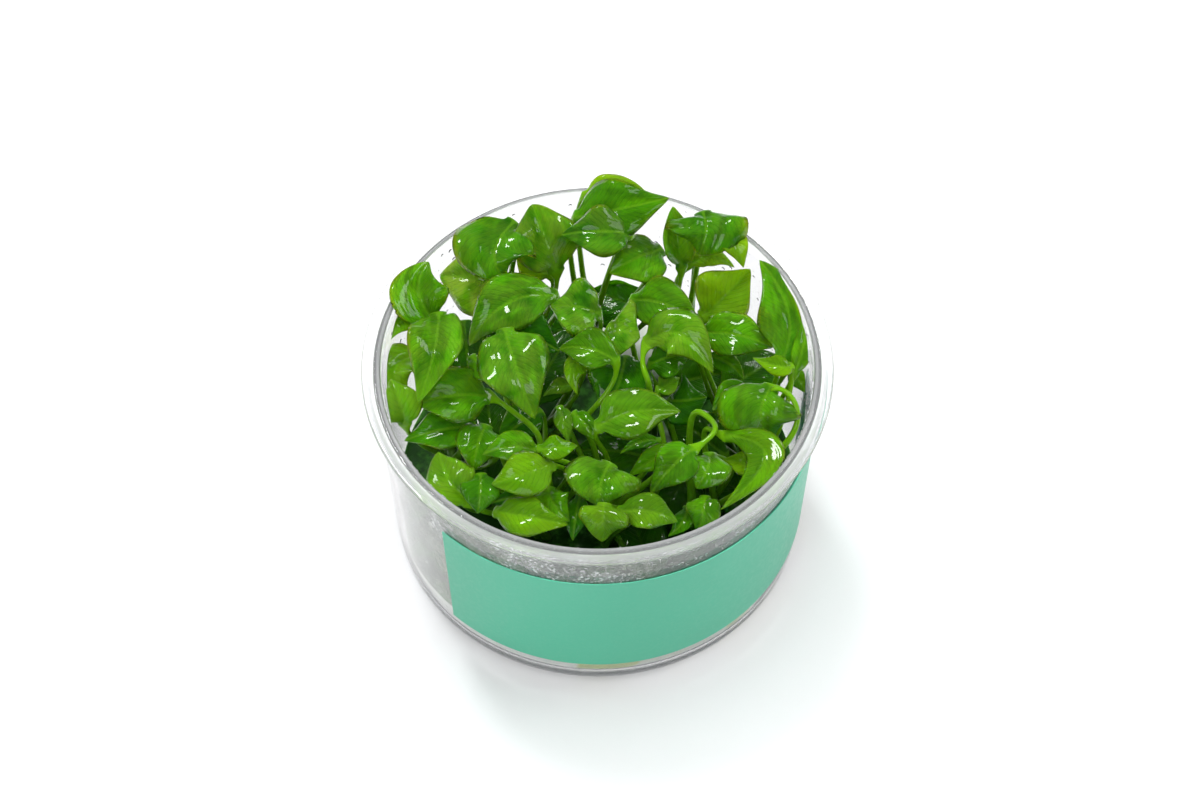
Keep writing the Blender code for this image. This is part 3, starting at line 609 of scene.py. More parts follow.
# Share of lime, of pale sheen and of shade in each leaf's green. The rest are mid green. Lime is the young
# leaves' own paler green with painted backlight, the pale sheen is a painted highlight, and the shade is
# painted shade
STEM_TONE = (0.3, 0.1, 0.3)
# The low leaves are mostly painted shade
LOW_TONE = (0.05, 0, 0.75)
TONES = {
    "leaf_01": (0.75, 0.1, 0), "leaf_02": (0, 0, 0.6), "leaf_03": (0, 0, 0.35),
    "leaf_04": (0.5, 0.1, 0), "leaf_05": (0.35, 0.75, 0), "leaf_06": (0, 0, 0.6),
    "leaf_07": (0.1, 0.25, 0.1), "leaf_08": (0.05, 0.1, 0.2), "leaf_09": (0.1, 0.1, 0),
    "leaf_10": (0.15, 0, 0.2), "leaf_11": (0, 0.15, 0.35), "leaf_12": (0.1, 0.1, 0.1),
    "leaf_13": (0, 0.15, 0.2), "leaf_14": (0, 0.1, 0.3), "leaf_15": (0.05, 0.1, 0.1),
    "leaf_16": (0.1, 0.15, 0), "leaf_17": (0.05, 0, 0.25), "leaf_18": (0.1, 0.1, 0.05),
    "leaf_19": (0.15, 0.15, 0), "leaf_20": (0.3, 0.2, 0), "leaf_21": (0.2, 0, 0.1),
    "leaf_22": (0.35, 0.15, 0), "leaf_23": (0.1, 0, 0.25), "leaf_24": (0.15, 0.1, 0.1),
    "leaf_25": (0.55, 0.1, 0), "leaf_26": (0.4, 0, 0), "leaf_27": (0.3, 0, 0),
    "leaf_28": (0.6, 0.05, 0), "leaf_29": (0.15, 0.15, 0.1), "leaf_30": (0.5, 0.1, 0),
    "leaf_31": (0.35, 0.1, 0), "leaf_32": (0.25, 0, 0.1), "leaf_33": (0.15, 0.05, 0.15),
    "leaf_34": (0.2, 0.05, 0.1), "leaf_35": (0.35, 0.05, 0), "leaf_36": (0.15, 0.1, 0.1),
    "leaf_37": (0.15, 0.05, 0), "leaf_38": (0.2, 0.35, 0.1), "leaf_39": (0.45, 0.1, 0),
    "leaf_40": (0.25, 0.05, 0.1), "leaf_41": (0.05, 0.25, 0.15), "leaf_42": (0.15, 0.05, 0.15),
    "leaf_43": (0.05, 0, 0.4), "leaf_44": (0.3, 0.25, 0), "leaf_45": (0.3, 0.1, 0),
    "leaf_46": (0.1, 0.2, 0.1), "young_01": (0, 0, 0.7), "young_02": (0, 0, 0.5),
    "young_03": (0, 0.2, 0.5), "young_04": (0, 0, 0.6), "young_05": (0.1, 0, 0.4),
    "young_06": (0.1, 0, 0.4), "young_07": (0.8, 0, 0), "young_08": (0.3, 0, 0.1),
    "young_09": (1, 0, 0), "young_10": (0.2, 0.15, 0.3), "young_11": (0.2, 0, 0.3),
    "young_12": (0.6, 0.2, 0), "young_13": (0.1, 0, 0.3), "young_14": (0.1, 0, 0.35),
    "young_15": (0.3, 0, 0.2), "young_16": (0.85, 0.1, 0), "young_17": (0.85, 0.1, 0),
    "young_18": (0.3, 0, 0.1), "young_19": (0.3, 0, 0), "young_20": (0.7, 0, 0),
    "young_21": (0.3, 0, 0), "young_22": (0.3, 0, 0.1), "young_23": (0.2, 0.3, 0.1),
}


def smooth(x):
    x = min(1.0, max(0.0, x))
    return x * x * (3 - 2 * x)


def across_of(k):
    """Where point k of a ring lies across the blade, from -1 to 1, and whether it is on the upper side."""
    t = k / (RING // 2)
    t = 2 * t - 1 if t <= 1 else 3 - 2 * t
    return math.copysign(abs(t) ** 1.2, t), k <= RING // 2


def fine_blade_point(item, seed, center, side, normal, s, k):
    """Point k of the blade's ring at share s, folded at the rib, waved at the margins and puckered."""
    u, above = across_of(k)
    uneven = 1 + UNEVENNESS * noise.noise(Vector((s * 3, seed, 1.0 if u > 0 else 7.0)))
    shape = FULLNESS - BASE_NARROWING * (1 - smooth(s / 0.35)) - TIP_NARROWING * smooth((s - 0.5) / 0.5)
    half = max(item.width / 2 * outline(s) * uneven * shape, THINNEST_HALF)
    fold = math.radians(item.fold)
    crown = (math.sqrt(u * u + 0.012) - 0.11) / 0.896
    turn = 2 * math.pi * (1.4 + 0.9 * (seed % 1)) * s + seed * 9 + (2.1 if u > 0 else 0)
    wave = MARGIN_WAVE * u * u * math.sin(turn)
    pucker = PUCKER * noise.noise(Vector((u * 1.6, s * 4.5, seed * 3)))
    arch = HALF_ARCH * math.sin(math.pi * abs(u)) * smooth(s / 0.2)
    lift = half * (crown * math.sin(fold) * FOLD_GAIN - u * u * MARGIN_DROOP + wave + pucker + arch)
    flat = keep_inside(center + side * (u * half * math.cos(fold)) + normal * lift)
    thick = BLADE_FINE * (0.3 + 0.7 * (1 - abs(u)) ** 0.5) * min(1.0, 0.35 + 4 * (1 - s))
    rib = math.exp(-((u * half) / RIB_HALF) ** 2) * (1 - s) ** 0.5
    return flat + normal * (thick / 2 - RIB_GROOVE * rib if above else -thick / 2 - RIB_KEEL * rib)


def round_point(center, side, normal, radius, k, wing=0.0):
    a = math.pi - k * 2 * math.pi / RING
    return center + side * ((radius + wing) * math.cos(a)) + normal * (radius * math.sin(a))


def wing_at(away, item):
    """How far the blade's wing stands out from the stalk at a distance from the blade's foot."""
    return min(WING_MOST, item.width * WING_SHARE) * max(0.0, 1 - away / WING_LENGTH) ** 1.6


def smooth_course(course):
    """Ease the bends of a stalk without moving its ends."""
    for _ in range(EASE_PASSES):
        eased = [(a + b * 2 + c) / 4 for a, b, c in zip(course, course[1:], course[2:])]
        course = course[:1] + eased + course[-1:]
    return course


def fine_stalk(item, ends, points, end):
    """Rings of the stalk from its foot up, and for each its distance along the leaf and its radius."""
    start = (UP + (points[1] - points[0]).normalized()).normalized()
    _, normal = blade_frame(ends, 0, item.roll)
    rings, marks = [], []
    course = [through(points, start, end, j / PETIOLE_ROWS)[0] for j in range(PETIOLE_ROWS + 1)]
    course = smooth_course(course)
    for j in reversed(range(PETIOLE_ROWS)):
        share = j / PETIOLE_ROWS
        center, way = course[j], (course[j + 1] - course[max(j - 1, 0)]).normalized()
        normal = (normal - way * normal.dot(way)).normalized()
        radius = PETIOLE_LOW_RADIUS + (ROOT_OF_BLADE - PETIOLE_LOW_RADIUS) * share ** 0.7
        if share < 0.12:
            radius *= 1 + 0.45 * (1 - share / 0.12)
        wing = wing_at((course[-1] - center).length, item)
        rings.append([round_point(center, way.cross(normal), normal, radius, k, wing) for k in range(RING)])
        marks.append((STALK_MARK * (1 - share) - 1, radius))
    return rings[::-1], marks[::-1]


def fine_leaf(item, ends, points):
    """Rings of a whole leaf from its foot to its tip, and for each its distance along it and half width."""
    seed = sum(ord(c) * (i + 3) for i, c in enumerate(item.name)) * 0.137
    end = (arrival(item, ends) + axis_slope(ends, 0) * 0.6).normalized()
    length = sum((axis_point(ends, (i + 1) / 8) - axis_point(ends, i / 8)).length for i in range(8))
    rings, marks = fine_stalk(item, ends, points, end)
    for j in range(BLADE_ROWS + 1):
        s = (j / BLADE_ROWS) ** 1.12
        side, normal = blade_frame(ends, s, item.roll)
        center = axis_point(ends, s)
        flat = smooth(s / 0.15)
        lean = (axis_slope(ends, s) * (0.4 + 3 * flat) + end).normalized()
        round_side = (side - lean * lean.dot(side)).normalized()
        radius = ROOT_OF_BLADE * (1 - 0.5 * flat)
        ring = []
        for k in range(RING):
            blade = fine_blade_point(item, seed, center, side, normal, s, k)
            stalk = round_point(center, round_side, round_side.cross(lean), radius, k, wing_at(0, item))
            ring.append(stalk.lerp(blade, flat))
        rings.append(ring)
        marks.append((s * length, item.width / 2 * outline(s)))
    return rings, marks


def leaf_mesh_data(item, ends, points):
    """Points, faces, and for each point its place on the leaf and its tone."""
    far = smooth((axis_point(ends, 0.5).y - BACK_FROM) / BACK_SPAN)
    item = item._replace(width=item.width * (WIDTH_GAIN + BACK_GAIN * far))
    rings, marks = fine_leaf(item, ends, points)
    shape = loft(rings)
    places = []
    for along, half in marks:
        for k in range(RING):
            u, above = across_of(k)
            places.append((u * half if along > 0 else u * 0.3, along, 0.0 if above else 1.0))
    return shape[0], shape[1], places, [TONES.get(item.name, LOW_TONE)] * len(places)


def stem_mesh_data(x, y):
    """A rooted stem with the low rings that old leaves leave."""
    rings, places = [], []
    side, ahead = Vector((1, 0, 0)), Vector((0, -1, 0))
    for j in range(STEM_ROWS + 1):
        t = j / STEM_ROWS
        center = Vector((x, y, STEM_BOTTOM + (STEM_TOP - STEM_BOTTOM) * t))
        radius = STEM_LOW_RADIUS + (STEM_HIGH_RADIUS - STEM_LOW_RADIUS) * t
        radius *= 1 + 0.08 * max(0.0, math.sin(t * 22)) ** 3
        rings.append([round_point(center, side, ahead, radius, k) for k in range(RING)][::-1])
        places += [(1.0, STALK_MARK, 0.0)] * RING
    shape = loft(rings)
    return shape[0], shape[1], places, [STEM_TONE] * len(places)


def lathe(profile, sides, start=0.0, end=360.0, closed=False):
    """Points and faces turned from radius and height pairs, from axis to axis or round a closed loop."""
    points, rows = [], []
    whole = end - start >= 360
    count = sides if whole else sides + 1
    for r, z in profile:
        if r < 1e-6:
            rows.append([len(points)] * count)
            points.append(Vector((0, 0, z)))
            continue
        rows.append(list(range(len(points), len(points) + count)))
        for k in range(count):
            a = math.radians(start + (end - start) * k / sides)
            points.append(Vector((r * math.sin(a), -r * math.cos(a), z)))
    faces = []
    if closed:
        rows.append(rows[0])
    for above, below in zip(rows, rows[1:]):
        for k in range(sides):
            n = (k + 1) % count
            face = []
            for i in (above[k], below[k], below[n], above[n]):
                if i not in face:
                    face.append(i)
            faces.append(tuple(face))
    return points, faces


def foot_arc(r, z, radius):
    """A quarter turn about a radius and height, from straight below it to straight out."""
    turns = [math.radians(90 * k / ARC_STEPS) for k in range(ARC_STEPS + 1)]
    return [(r + radius * math.sin(a), z - radius * math.cos(a)) for a in turns]


# Blender pieces

def cup_collection():
    found = bpy.data.collections.get("tissue_culture_cup")
    if not found:
        found = bpy.data.collections.new("tissue_culture_cup")
        bpy.context.scene.collection.children.link(found)
    return found


def add_piece(name, shapes, material, nodes):
    """One mesh from several shapes, riding with the cup and standing for its CAD nodes."""
    points, faces, places, tones = [], [], [], []
    for shape in shapes:
        faces += [tuple(i + len(points) for i in face) for face in shape[1]]
        points += shape[0]
        if len(shape) > 2:
            places += shape[2]
            tones += shape[3]
    mesh = bpy.data.meshes.new(name)
    mesh.from_pydata([p * MM for p in points], [], faces)
    shell = bmesh.new()
    shell.from_mesh(mesh)
    bmesh.ops.recalc_face_normals(shell, faces=shell.faces)
    shell.to_mesh(mesh)
    shell.free()
    for label, values in (("place", places), ("tone", tones)):
        if values:
            layer = mesh.attributes.new(label, "FLOAT_VECTOR", "POINT")
            layer.data.foreach_set("vector", [x for value in values for x in value])
    mesh.shade_smooth()
    mesh.materials.append(material)
    piece = bpy.data.objects.new(name, mesh)
    cup_collection().objects.link(piece)
    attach(piece, "root")
    if nodes:
        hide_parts(*nodes)
    return piece


# Materials

class Nodes:
    """Short words for building a node tree."""

    def __init__(self, tree):
        self.tree = tree

    def add(self, kind, **settings):
        node = self.tree.nodes.new(kind)
        for key, value in settings.items():
            setattr(node, key, value)
        return node

    def put(self, socket, value):
        if hasattr(value, "is_output"):
            self.tree.links.new(value, socket)
        elif value is not None:
            socket.default_value = value

    def math(self, operation, a, b=None, clamp=False):
        node = self.add("ShaderNodeMath", operation=operation, use_clamp=clamp)
        for socket, value in zip(node.inputs, (a, b)):
            self.put(socket, value)
        return node.outputs[0]

    def times(self, first, *others):
        for other in others:
            first = self.math("MULTIPLY", first, other)
        return first

    def total(self, first, *others):
        for other in others:
            first = self.math("ADD", first, other)
        return first

    def mix(self, factor, a, b):
        """Two colours, given as sockets or as red, green and blue."""
        node = self.add("ShaderNodeMix", data_type="RGBA")
        self.put(node.inputs["Factor"], factor)
        for socket, color in ((node.inputs[6], a), (node.inputs[7], b)):
            self.put(socket, color if hasattr(color, "is_output") else (*color, 1))
        return node.outputs[2]

    def ramp(self, value, low, high, low_to=0.0, high_to=1.0):
        node = self.add("ShaderNodeMapRange", interpolation_type="SMOOTHSTEP")
        for key, one in (("Value", value), ("From Min", low), ("From Max", high),
                         ("To Min", low_to), ("To Max", high_to)):
            self.put(node.inputs[key], one)
        return node.outputs["Result"]

    def noise(self, scale, detail=2.0, rough=0.5, vector=None, distortion=0.0):
        node = self.add("ShaderNodeTexNoise")
        for key, one in (("Vector", vector or self.place()), ("Scale", scale), ("Detail", detail),
                         ("Roughness", rough), ("Distortion", distortion)):
            self.put(node.inputs[key], one)
        return node.outputs["Fac"]

    def mottle(self, scale, low, high, low_to=0.0, high_to=1.0,
               detail=2.0, rough=0.5, vector=None, distortion=0.0):
        """Soft patches that several materials share."""
        node = self.add("ShaderNodeGroup", node_tree=mottle_group())
        given = (vector or self.place(), scale, detail, rough, distortion, low, high, low_to, high_to)
        for socket, value in zip(node.inputs, given):
            self.put(socket, value)
        return node.outputs[0]

    def cells(self, scale):
        node = self.add("ShaderNodeTexVoronoi")
        self.put(node.inputs["Vector"], self.place())
        self.put(node.inputs["Scale"], scale)
        return node.outputs["Distance"]

    def place(self):
        return self.add("ShaderNodeTexCoord").outputs["Object"]

    def mark(self, name):
        return self.split(self.add("ShaderNodeAttribute", attribute_name=name).outputs["Vector"])

    def split(self, vector):
        node = self.add("ShaderNodeSeparateXYZ")
        self.put(node.inputs[0], vector)
        return node.outputs

    def bump(self, height, distance, strength):
        node = self.add("ShaderNodeBump")
        for key, one in (("Height", height), ("Distance", distance), ("Strength", strength)):
            self.put(node.inputs[key], one)
        return node.outputs["Normal"]


def mottle_group():
    """Noise between two limits, as an amount between two others."""
    tree = bpy.data.node_groups.get("soft_mottle")
    if tree:
        return tree
    tree = bpy.data.node_groups.new("soft_mottle", "ShaderNodeTree")
    tree.interface.new_socket("Vector", in_out="INPUT", socket_type="NodeSocketVector")
    for label, value in (("Scale", 100.0), ("Detail", 2.0), ("Roughness", 0.5), ("Distortion", 0.0),
                         ("Low", 0.3), ("High", 0.7), ("Low amount", 0.0), ("High amount", 1.0)):
        socket = tree.interface.new_socket(label, in_out="INPUT", socket_type="NodeSocketFloat")
        socket.default_value = value
    tree.interface.new_socket("Amount", in_out="OUTPUT", socket_type="NodeSocketFloat")
    n = Nodes(tree)
    vector, scale, detail, rough, distortion, *limits = n.add("NodeGroupInput").outputs[:9]
    amount = n.ramp(n.noise(scale, detail, rough, vector, distortion), *limits)
    n.put(n.add("NodeGroupOutput").inputs[0], amount)
    return tree


def new_material(name):
    material = bpy.data.materials.new(name)
    material.use_nodes = True
    return material, Nodes(material.node_tree), material.node_tree.nodes["Principled BSDF"]


def fill_shader(n, shader, values):
    for key, value in values.items():
        n.put(shader.inputs[key], value)


def leaf_material():
    """Green flesh with veins, a painted shade on one half, a pale painted sheen and a film of water."""
    looks = bpy.context.scene.culture_leaves
    material, n, shader = new_material("wet_leaf")
    out, along, under = n.mark("place")
    lime, painted_sheen, painted_shade = n.mark("tone")
    x, _, z = n.split(n.place())
    lengthwise = n.add("ShaderNodeCombineXYZ")
    for socket, value in zip(lengthwise.inputs, (out, n.times(along, 0.22), n.times(x, 300.0))):
        n.put(socket, value)
    lengthwise = lengthwise.outputs[0]

    reach = n.math("ABSOLUTE", out)
    course = n.math("SUBTRACT", along, n.times(reach, VEIN_SLANT))
    course = n.total(course, n.times(n.noise(350), 0.8))
    vein = n.ramp(n.math("PINGPONG", course, VEIN_SPACING), 0.0, 0.22, 1.0, 0.0)
    vein = n.times(vein, n.ramp(along, 0.0, 1.5))
    fine = n.ramp(n.math("PINGPONG", n.total(course, 0.3), VEIN_SPACING / 3), 0.0, 0.1, 1.0, 0.0)
    rib = n.times(n.ramp(reach, 0.12, 0.5, 1.0, 0.0), n.ramp(along, -1.0, 0.5))

    patch = n.total(n.times(n.noise(140, 3), 0.5), n.times(n.noise(0.55, 3, 0.5, lengthwise, 0.5), 0.5))
    color = n.mix(n.ramp(patch, 0.4, 0.6), looks.deep_green, looks.mid_green)
    # Painted shade: each leaf's share of shade green, for where it lies deep in the tuft
    color = n.mix(painted_shade, color, looks.shade_green)
    # Lime: the young leaves' own paler green, with painted backlight
    color = n.mix(lime, color, looks.lime_green)
    # Painted shade: one half of each blade, chosen in patches, is darker, as if turned from the light
    half = n.math("SUBTRACT", n.ramp(out, -0.25, 0.25), n.mottle(40, 0.47, 0.53, detail=1))
    stalk = n.ramp(along, -0.6, 0.6, 1.0, 0.0)
    for amount, other in (
        (n.times(n.math("ABSOLUTE", half), 0.4), looks.deep_green),
        # Painted sheen: pale patches that stand in for highlights on some blades
        (n.times(painted_sheen, n.mottle(230, 0.3, 0.62)), looks.painted_sheen),
        (n.times(vein, looks.vein_strength), looks.deep_green),
        (n.times(rib, 0.42), looks.rib_green),
        (n.times(under, 0.3), looks.rib_green),
        (n.times(stalk, 0.85), looks.stalk_green),
        (n.times(n.noise(1600), 0.18), looks.deep_green),
        # Painted shade: leaves darken towards the bottom of the cup, below 46 mm
        (n.ramp(z, 0.016, 0.046, 0.85, 0.0), looks.shade_green),
    ):
        color = n.mix(amount, color, other)

    height = n.total(
        n.times(vein, -0.7), n.times(fine, -0.2), n.times(n.noise(420, 3), 1.5), n.times(n.noise(170), 3.0))
    film = n.noise(0.6, 1, 0.4, lengthwise, 0.3)
    fill_shader(n, shader, {
        "Base Color": color,
        "Roughness": n.mottle(500, 0.3, 0.75, 0.3, 0.45),
        "Normal": n.bump(height, 0.0002, 0.6),
        "Coat Weight": n.mottle(95, 0.35, 0.55, 0.5, 1.0),
        "Coat Normal": n.bump(film, 0.0009, 0.32),
        "Coat Roughness": 0.05,
        "Coat IOR": 1.4,
        "Subsurface Weight": looks.glow,
        "Subsurface Radius": (0.8, 1.0, 0.1),
        "Subsurface Scale": 0.0012,
        "Specular IOR Level": 0.12,
        "Specular Tint": (0.5, 1.0, 0.12, 1),
        "IOR": 1.45,
    })
    return material


def clear_material(name, color, ior, roughness=0.0, haze=None):
    """See-through plastic or water. The shadow of it stays bright, as in a lit room."""
    material, n, shader = new_material(name)
    fill_shader(n, shader, {
        "Base Color": (*color, 1),
        "Transmission Weight": 1.0,
        "IOR": ior,
        "Roughness": roughness,
    })
    body = shader.outputs[0]
    if haze:
        n.put(shader.inputs["Roughness"], n.mottle(180, 0.45, 0.75, 0.015, 0.09, 4, 0.6))
        matt = n.add("ShaderNodeBsdfDiffuse")
        matt.inputs["Color"].default_value = (0.8, 0.82, 0.82, 1)
        body = blend(n, haze(n), body, matt.outputs[0])
    clear = n.add("ShaderNodeBsdfTransparent")
    clear.inputs["Color"].default_value = (0.93, 0.95, 0.95, 1)
    body = blend(n, n.add("ShaderNodeLightPath").outputs["Is Shadow Ray"], body, clear.outputs[0])
    n.put(material.node_tree.nodes["Material Output"].inputs["Surface"], body)
    return material


def blend(n, share, first, second):
    node = n.add("ShaderNodeMixShader")
    for socket, value in zip(node.inputs, (share, first, second)):
        n.put(socket, value)
    return node.outputs[0]


def rim_haze(n):
    """The thick rim is a little cloudy, and the thin wall hardly at all."""
    return n.ramp(n.split(n.place())[2], RIM_UNDER * MM, RIM_TOP * MM, 0.02, 0.36)


def fog_material():
    """Breath on the inner wall: thick at the left, with clear runs where drops have slid."""
    material, n, shader = new_material("wall_fog")
    x, y, _ = n.split(n.place())
    stretch = n.add("ShaderNodeMapping")
    stretch.inputs["Scale"].default_value = (1.0, 1.0, 0.45)
    n.put(stretch.inputs["Vector"], n.place())
    tall = stretch.outputs[0]
    amount = n.times(
        n.mottle(70, 0.3, 0.6, 0.25, 0.9, 4, 0.6, tall, 0.6),
        n.ramp(n.total(x, n.times(y, 0.9)), -0.045, -0.01, 1.0, 0.12),
        n.ramp(y, -0.024, -0.006, 1.0, 0.1),
        n.mottle(160, 0.4, 0.5, 0.3, 1.0, 2, 0.5, tall, 1.2),
        n.ramp(n.cells(1050), 0.12, 0.45, 1.3, 0.12),
        n.ramp(n.ramp(n.cells(150), 0.2, 0.28), 0.0, 1.0, 0.3, 1.0),
    )
    # Painted shade: grey-green patches where leaves behind the fog darken it
    tint = n.mottle(55, 0.5, 0.53, rough=0.4)
    fill_shader(n, shader, {
        "Alpha": n.math("MULTIPLY", amount, 0.85, clamp=True),
        "Base Color": n.mix(tint, (0.83, 0.86, 0.84), (0.38, 0.44, 0.32)),
        "Roughness": 0.6,
    })
    return material


def gel_material():
    """Pale cloudy agar with leaf scraps in it, dark green on top but for its back edge: a little plant
    matter, mostly painted shade under the leaves.
    """
    material, n, shader = new_material("agar_gel")
    _, y, z = n.split(n.place())
    color = n.mix(n.mottle(60, 0.35, 0.7, detail=3), (0.72, 0.74, 0.69), (0.56, 0.6, 0.5))
    color = n.mix(n.mottle(75, 0.57, 0.62), color, (0.42, 0.5, 0.16))
    edge = n.total(y, n.times(n.noise(120, 4), 0.02))
    # Painted shade: the top is darkened where the leaves shade it, fading out towards the back edge
    top = n.times(
        n.ramp(z, 0.0102, 0.0108),
        n.mottle(90, 0.25, 0.45, 0.75, 1.0, 4),
        n.ramp(edge, 0.036, 0.05, 1.0, 0.1),
    )
    plant_mat_and_shade = n.mix(n.mottle(150, 0.46, 0.62, detail=5, rough=0.65), (0.006, 0.036, 0.002), (0.03, 0.12, 0.012))
    fill_shader(n, shader, {
        "Base Color": n.mix(top, color, plant_mat_and_shade),
        "Roughness": n.mottle(300, 0.3, 0.7, 0.4, 0.6),
        "Normal": n.bump(n.noise(260, 4), 0.0006, 0.6),
        "Specular IOR Level": 0.05,
        "Subsurface Weight": 0.6,
        "Subsurface Radius": (1.0, 1.0, 0.9),
        "Subsurface Scale": 0.004,
    })
    return material


def label_material():
    """Bare film with a faint cloud and a fine grain."""
    tint = bpy.context.scene.culture_cup.label_color
    material, n, shader = new_material("label_film")
    grain = n.noise(900, 3, 0.6)
    color = n.mix(n.mottle(25, 0.3, 0.7, detail=3), tint, [c * 0.94 for c in tint])
    color = n.mix(n.times(n.ramp(grain, 0.5, 0.75), 0.03), color, (0.8, 0.85, 0.8))
    fill_shader(n, shader, {
        "Base Color": color,
        "Roughness": n.ramp(grain, 0.3, 0.7, 0.34, 0.46),
        "Normal": n.bump(grain, 0.00004, 0.3),
    })
    return material


def floor_material(tint):
    material, n, shader = new_material("paper_floor")
    fill_shader(n, shader, {
        "Base Color": n.mix(n.mottle(4, 0.3, 0.7, detail=3), tint, [c * 0.985 for c in tint]),
        "Normal": n.bump(n.noise(900), 0.00003, 0.2),
        "Roughness": 0.6,
        "Specular IOR Level": 0.3,
    })
    return material


# Settings

def color_setting(name, description, default):
    return bpy.props.FloatVectorProperty(
        name=name, description=description, default=default, size=3, min=0, max=1, subtype="COLOR")


class CultureCupSettings(bpy.types.PropertyGroup):
    rim_radius: bpy.props.FloatProperty(
        name="Rim radius", description="Outer radius of the cup's flange", default=CAD_HIGH.x, unit="LENGTH")
    sides: bpy.props.IntProperty(name="Sides", description="Facets round the cup", default=180, min=24)
    label_color: color_setting("Label", "Colour of the bare label film", (0.052, 0.44, 0.27))


class CultureLeavesSettings(bpy.types.PropertyGroup):
    mid_green: color_setting("Mid green", "Most of each blade", (0.056, 0.3, 0.001))
    # Deep green also paints the shade on one half of each blade
    deep_green: color_setting("Deep green", "Veins and darker patches", (0.011, 0.1, 0.001))
    # Painted shade for leaves deep and low in the tuft
    shade_green: color_setting("Shade green", "Leaves low in the tuft", (0.006, 0.045, 0.001))
    lime_green: color_setting("Lime green", "Young and backlit leaves", (0.2, 0.42, 0.003))
    rib_green: color_setting("Rib green", "Midribs and undersides", (0.15, 0.36, 0.012))
    stalk_green: color_setting("Stalk green", "Leaf stalks", (0.17, 0.42, 0.005))
    # Painted sheen: a pale colour that stands in for highlights on some blades
    painted_sheen: color_setting("Painted_sheen", "Pale film on some blades", (0.3, 0.48, 0.04))
    vein_strength: bpy.props.FloatProperty(
        name="Veins", description="How far the side veins darken the blade", default=0.14, min=0, max=1)
    glow: bpy.props.FloatProperty(
        name="Glow", description="How much light passes through a blade", default=0.35, min=0, max=1)


class CultureStageSettings(bpy.types.PropertyGroup):
    floor_color: color_setting("Floor", "Colour of the paper floor", (0.9, 0.9, 0.91))
    key_power: bpy.props.FloatProperty(
        name="Key light", description="Power that each lamp has a share of", default=3.6, subtype="POWER")
    fill: bpy.props.FloatProperty(
        name="Fill", description="Strength of the light from the room", default=0.75)
    horizon: color_setting("Horizon", "How much of the fill comes from low down", (0.55, 0.55, 0.56))


# Operators

class CULTURE_OT_cup(bpy.types.Operator):
    """Turn the clear cup with its stepped flange"""
    bl_idname = "culture.cup"
    bl_label = "Cup"

    def execute(self, context):
        settings = context.scene.culture_cup
        rim = settings.rim_radius / MM
        low, corner = WALL_LOW_RADIUS - WALL, FLOOR + INNER_CORNER
        neck = RIM_UNDER - 0.4
        profile = [(0, FLOOR), (low - INNER_CORNER - 0.8, FLOOR)]
        profile += foot_arc(low - INNER_CORNER, corner, INNER_CORNER)
        for k in range(1, WALL_ROWS):
            t = k / WALL_ROWS
            profile.append((low + (MOUTH_RADIUS - low) * t, corner + (RIM_TOP - MOUTH_DEPTH - corner) * t))
        profile += [(MOUTH_RADIUS + out, RIM_TOP - down) for out, down in RIM_STEPS]
        profile += [(rim - inset, RIM_TOP - down) for inset, down in EDGE_STEPS]
        profile += [
            (rim - 0.2, RIM_UNDER), (rim - 0.6, RIM_UNDER + 0.02), (WALL_TOP_RADIUS + 0.5, RIM_UNDER),
            (WALL_TOP_RADIUS + 0.15, RIM_UNDER - 0.1), (WALL_TOP_RADIUS, neck),
        ]
        for k in range(1, WALL_ROWS):
            z = neck + (WALL_LOW_Z - neck) * k / WALL_ROWS
            profile.append((wall_radius(z), z))
        profile += foot_arc(WALL_LOW_RADIUS - WALL_LOW_Z, WALL_LOW_Z, WALL_LOW_Z)[::-1]
        profile += [(FOOT_RADIUS - 3, 0.0), (FOOT_RADIUS - 3.4, HOLLOW), (0, HOLLOW)]
        material = clear_material("clear_plastic", (0.98, 0.98, 0.99), 1.49, 0.03, rim_haze)
        add_piece("cup", [lathe(profile[::-1], settings.sides)], material, ["jar"])
        return {"FINISHED"}


class CULTURE_OT_gel(bpy.types.Operator):
    """Pour the agar gel with its low meniscus"""
    bl_idname = "culture.gel"
    bl_label = "Gel"

    def execute(self, context):
        low = WALL_LOW_RADIUS - WALL - GEL_PLAY
        top = wall_radius(GEL_TOP) - WALL - GEL_PLAY
        level = GEL_TOP - 0.15
        profile = [(0, level)] + [(top - 5 + 4.2 * k / 6, level) for k in range(6)]
        profile += [(top - 0.6, GEL_TOP - 0.1), (top - 0.25, GEL_TOP), (top, GEL_TOP)]
        profile += foot_arc(low - GEL_CORNER, FLOOR + GEL_PLAY + GEL_CORNER, GEL_CORNER)[::-1]
        profile.append((0, FLOOR + GEL_PLAY))
        shape = lathe(profile, context.scene.culture_cup.sides)
        add_piece("gel_pad", [shape], gel_material(), ["gel"])
        return {"FINISHED"}


class CULTURE_OT_label(bpy.types.Operator):
    """Wrap the bare label film round the wall"""
    bl_idname = "culture.label"
    bl_label = "Label"

    def execute(self, context):
        section = [(0.08, LABEL_BOTTOM), (0.08, LABEL_TOP), (0.26, LABEL_TOP), (0.3, LABEL_TOP - 0.06),
                   (0.3, LABEL_BOTTOM + 0.06), (0.26, LABEL_BOTTOM)]
        rings = []
        for k in range(LABEL_COLUMNS + 1):
            a = math.radians(LABEL_START_DEG + (LABEL_END_DEG - LABEL_START_DEG) * k / LABEL_COLUMNS)
            ring = []
            for out, z in section:
                r = wall_radius(z) + out
                ring.append(Vector((r * math.sin(a), -r * math.cos(a), z)))
            rings.append(ring)
        piece = add_piece("wrap_label", [loft(rings)], label_material(), ["label"])
        piece.data.shade_flat()
        return {"FINISHED"}


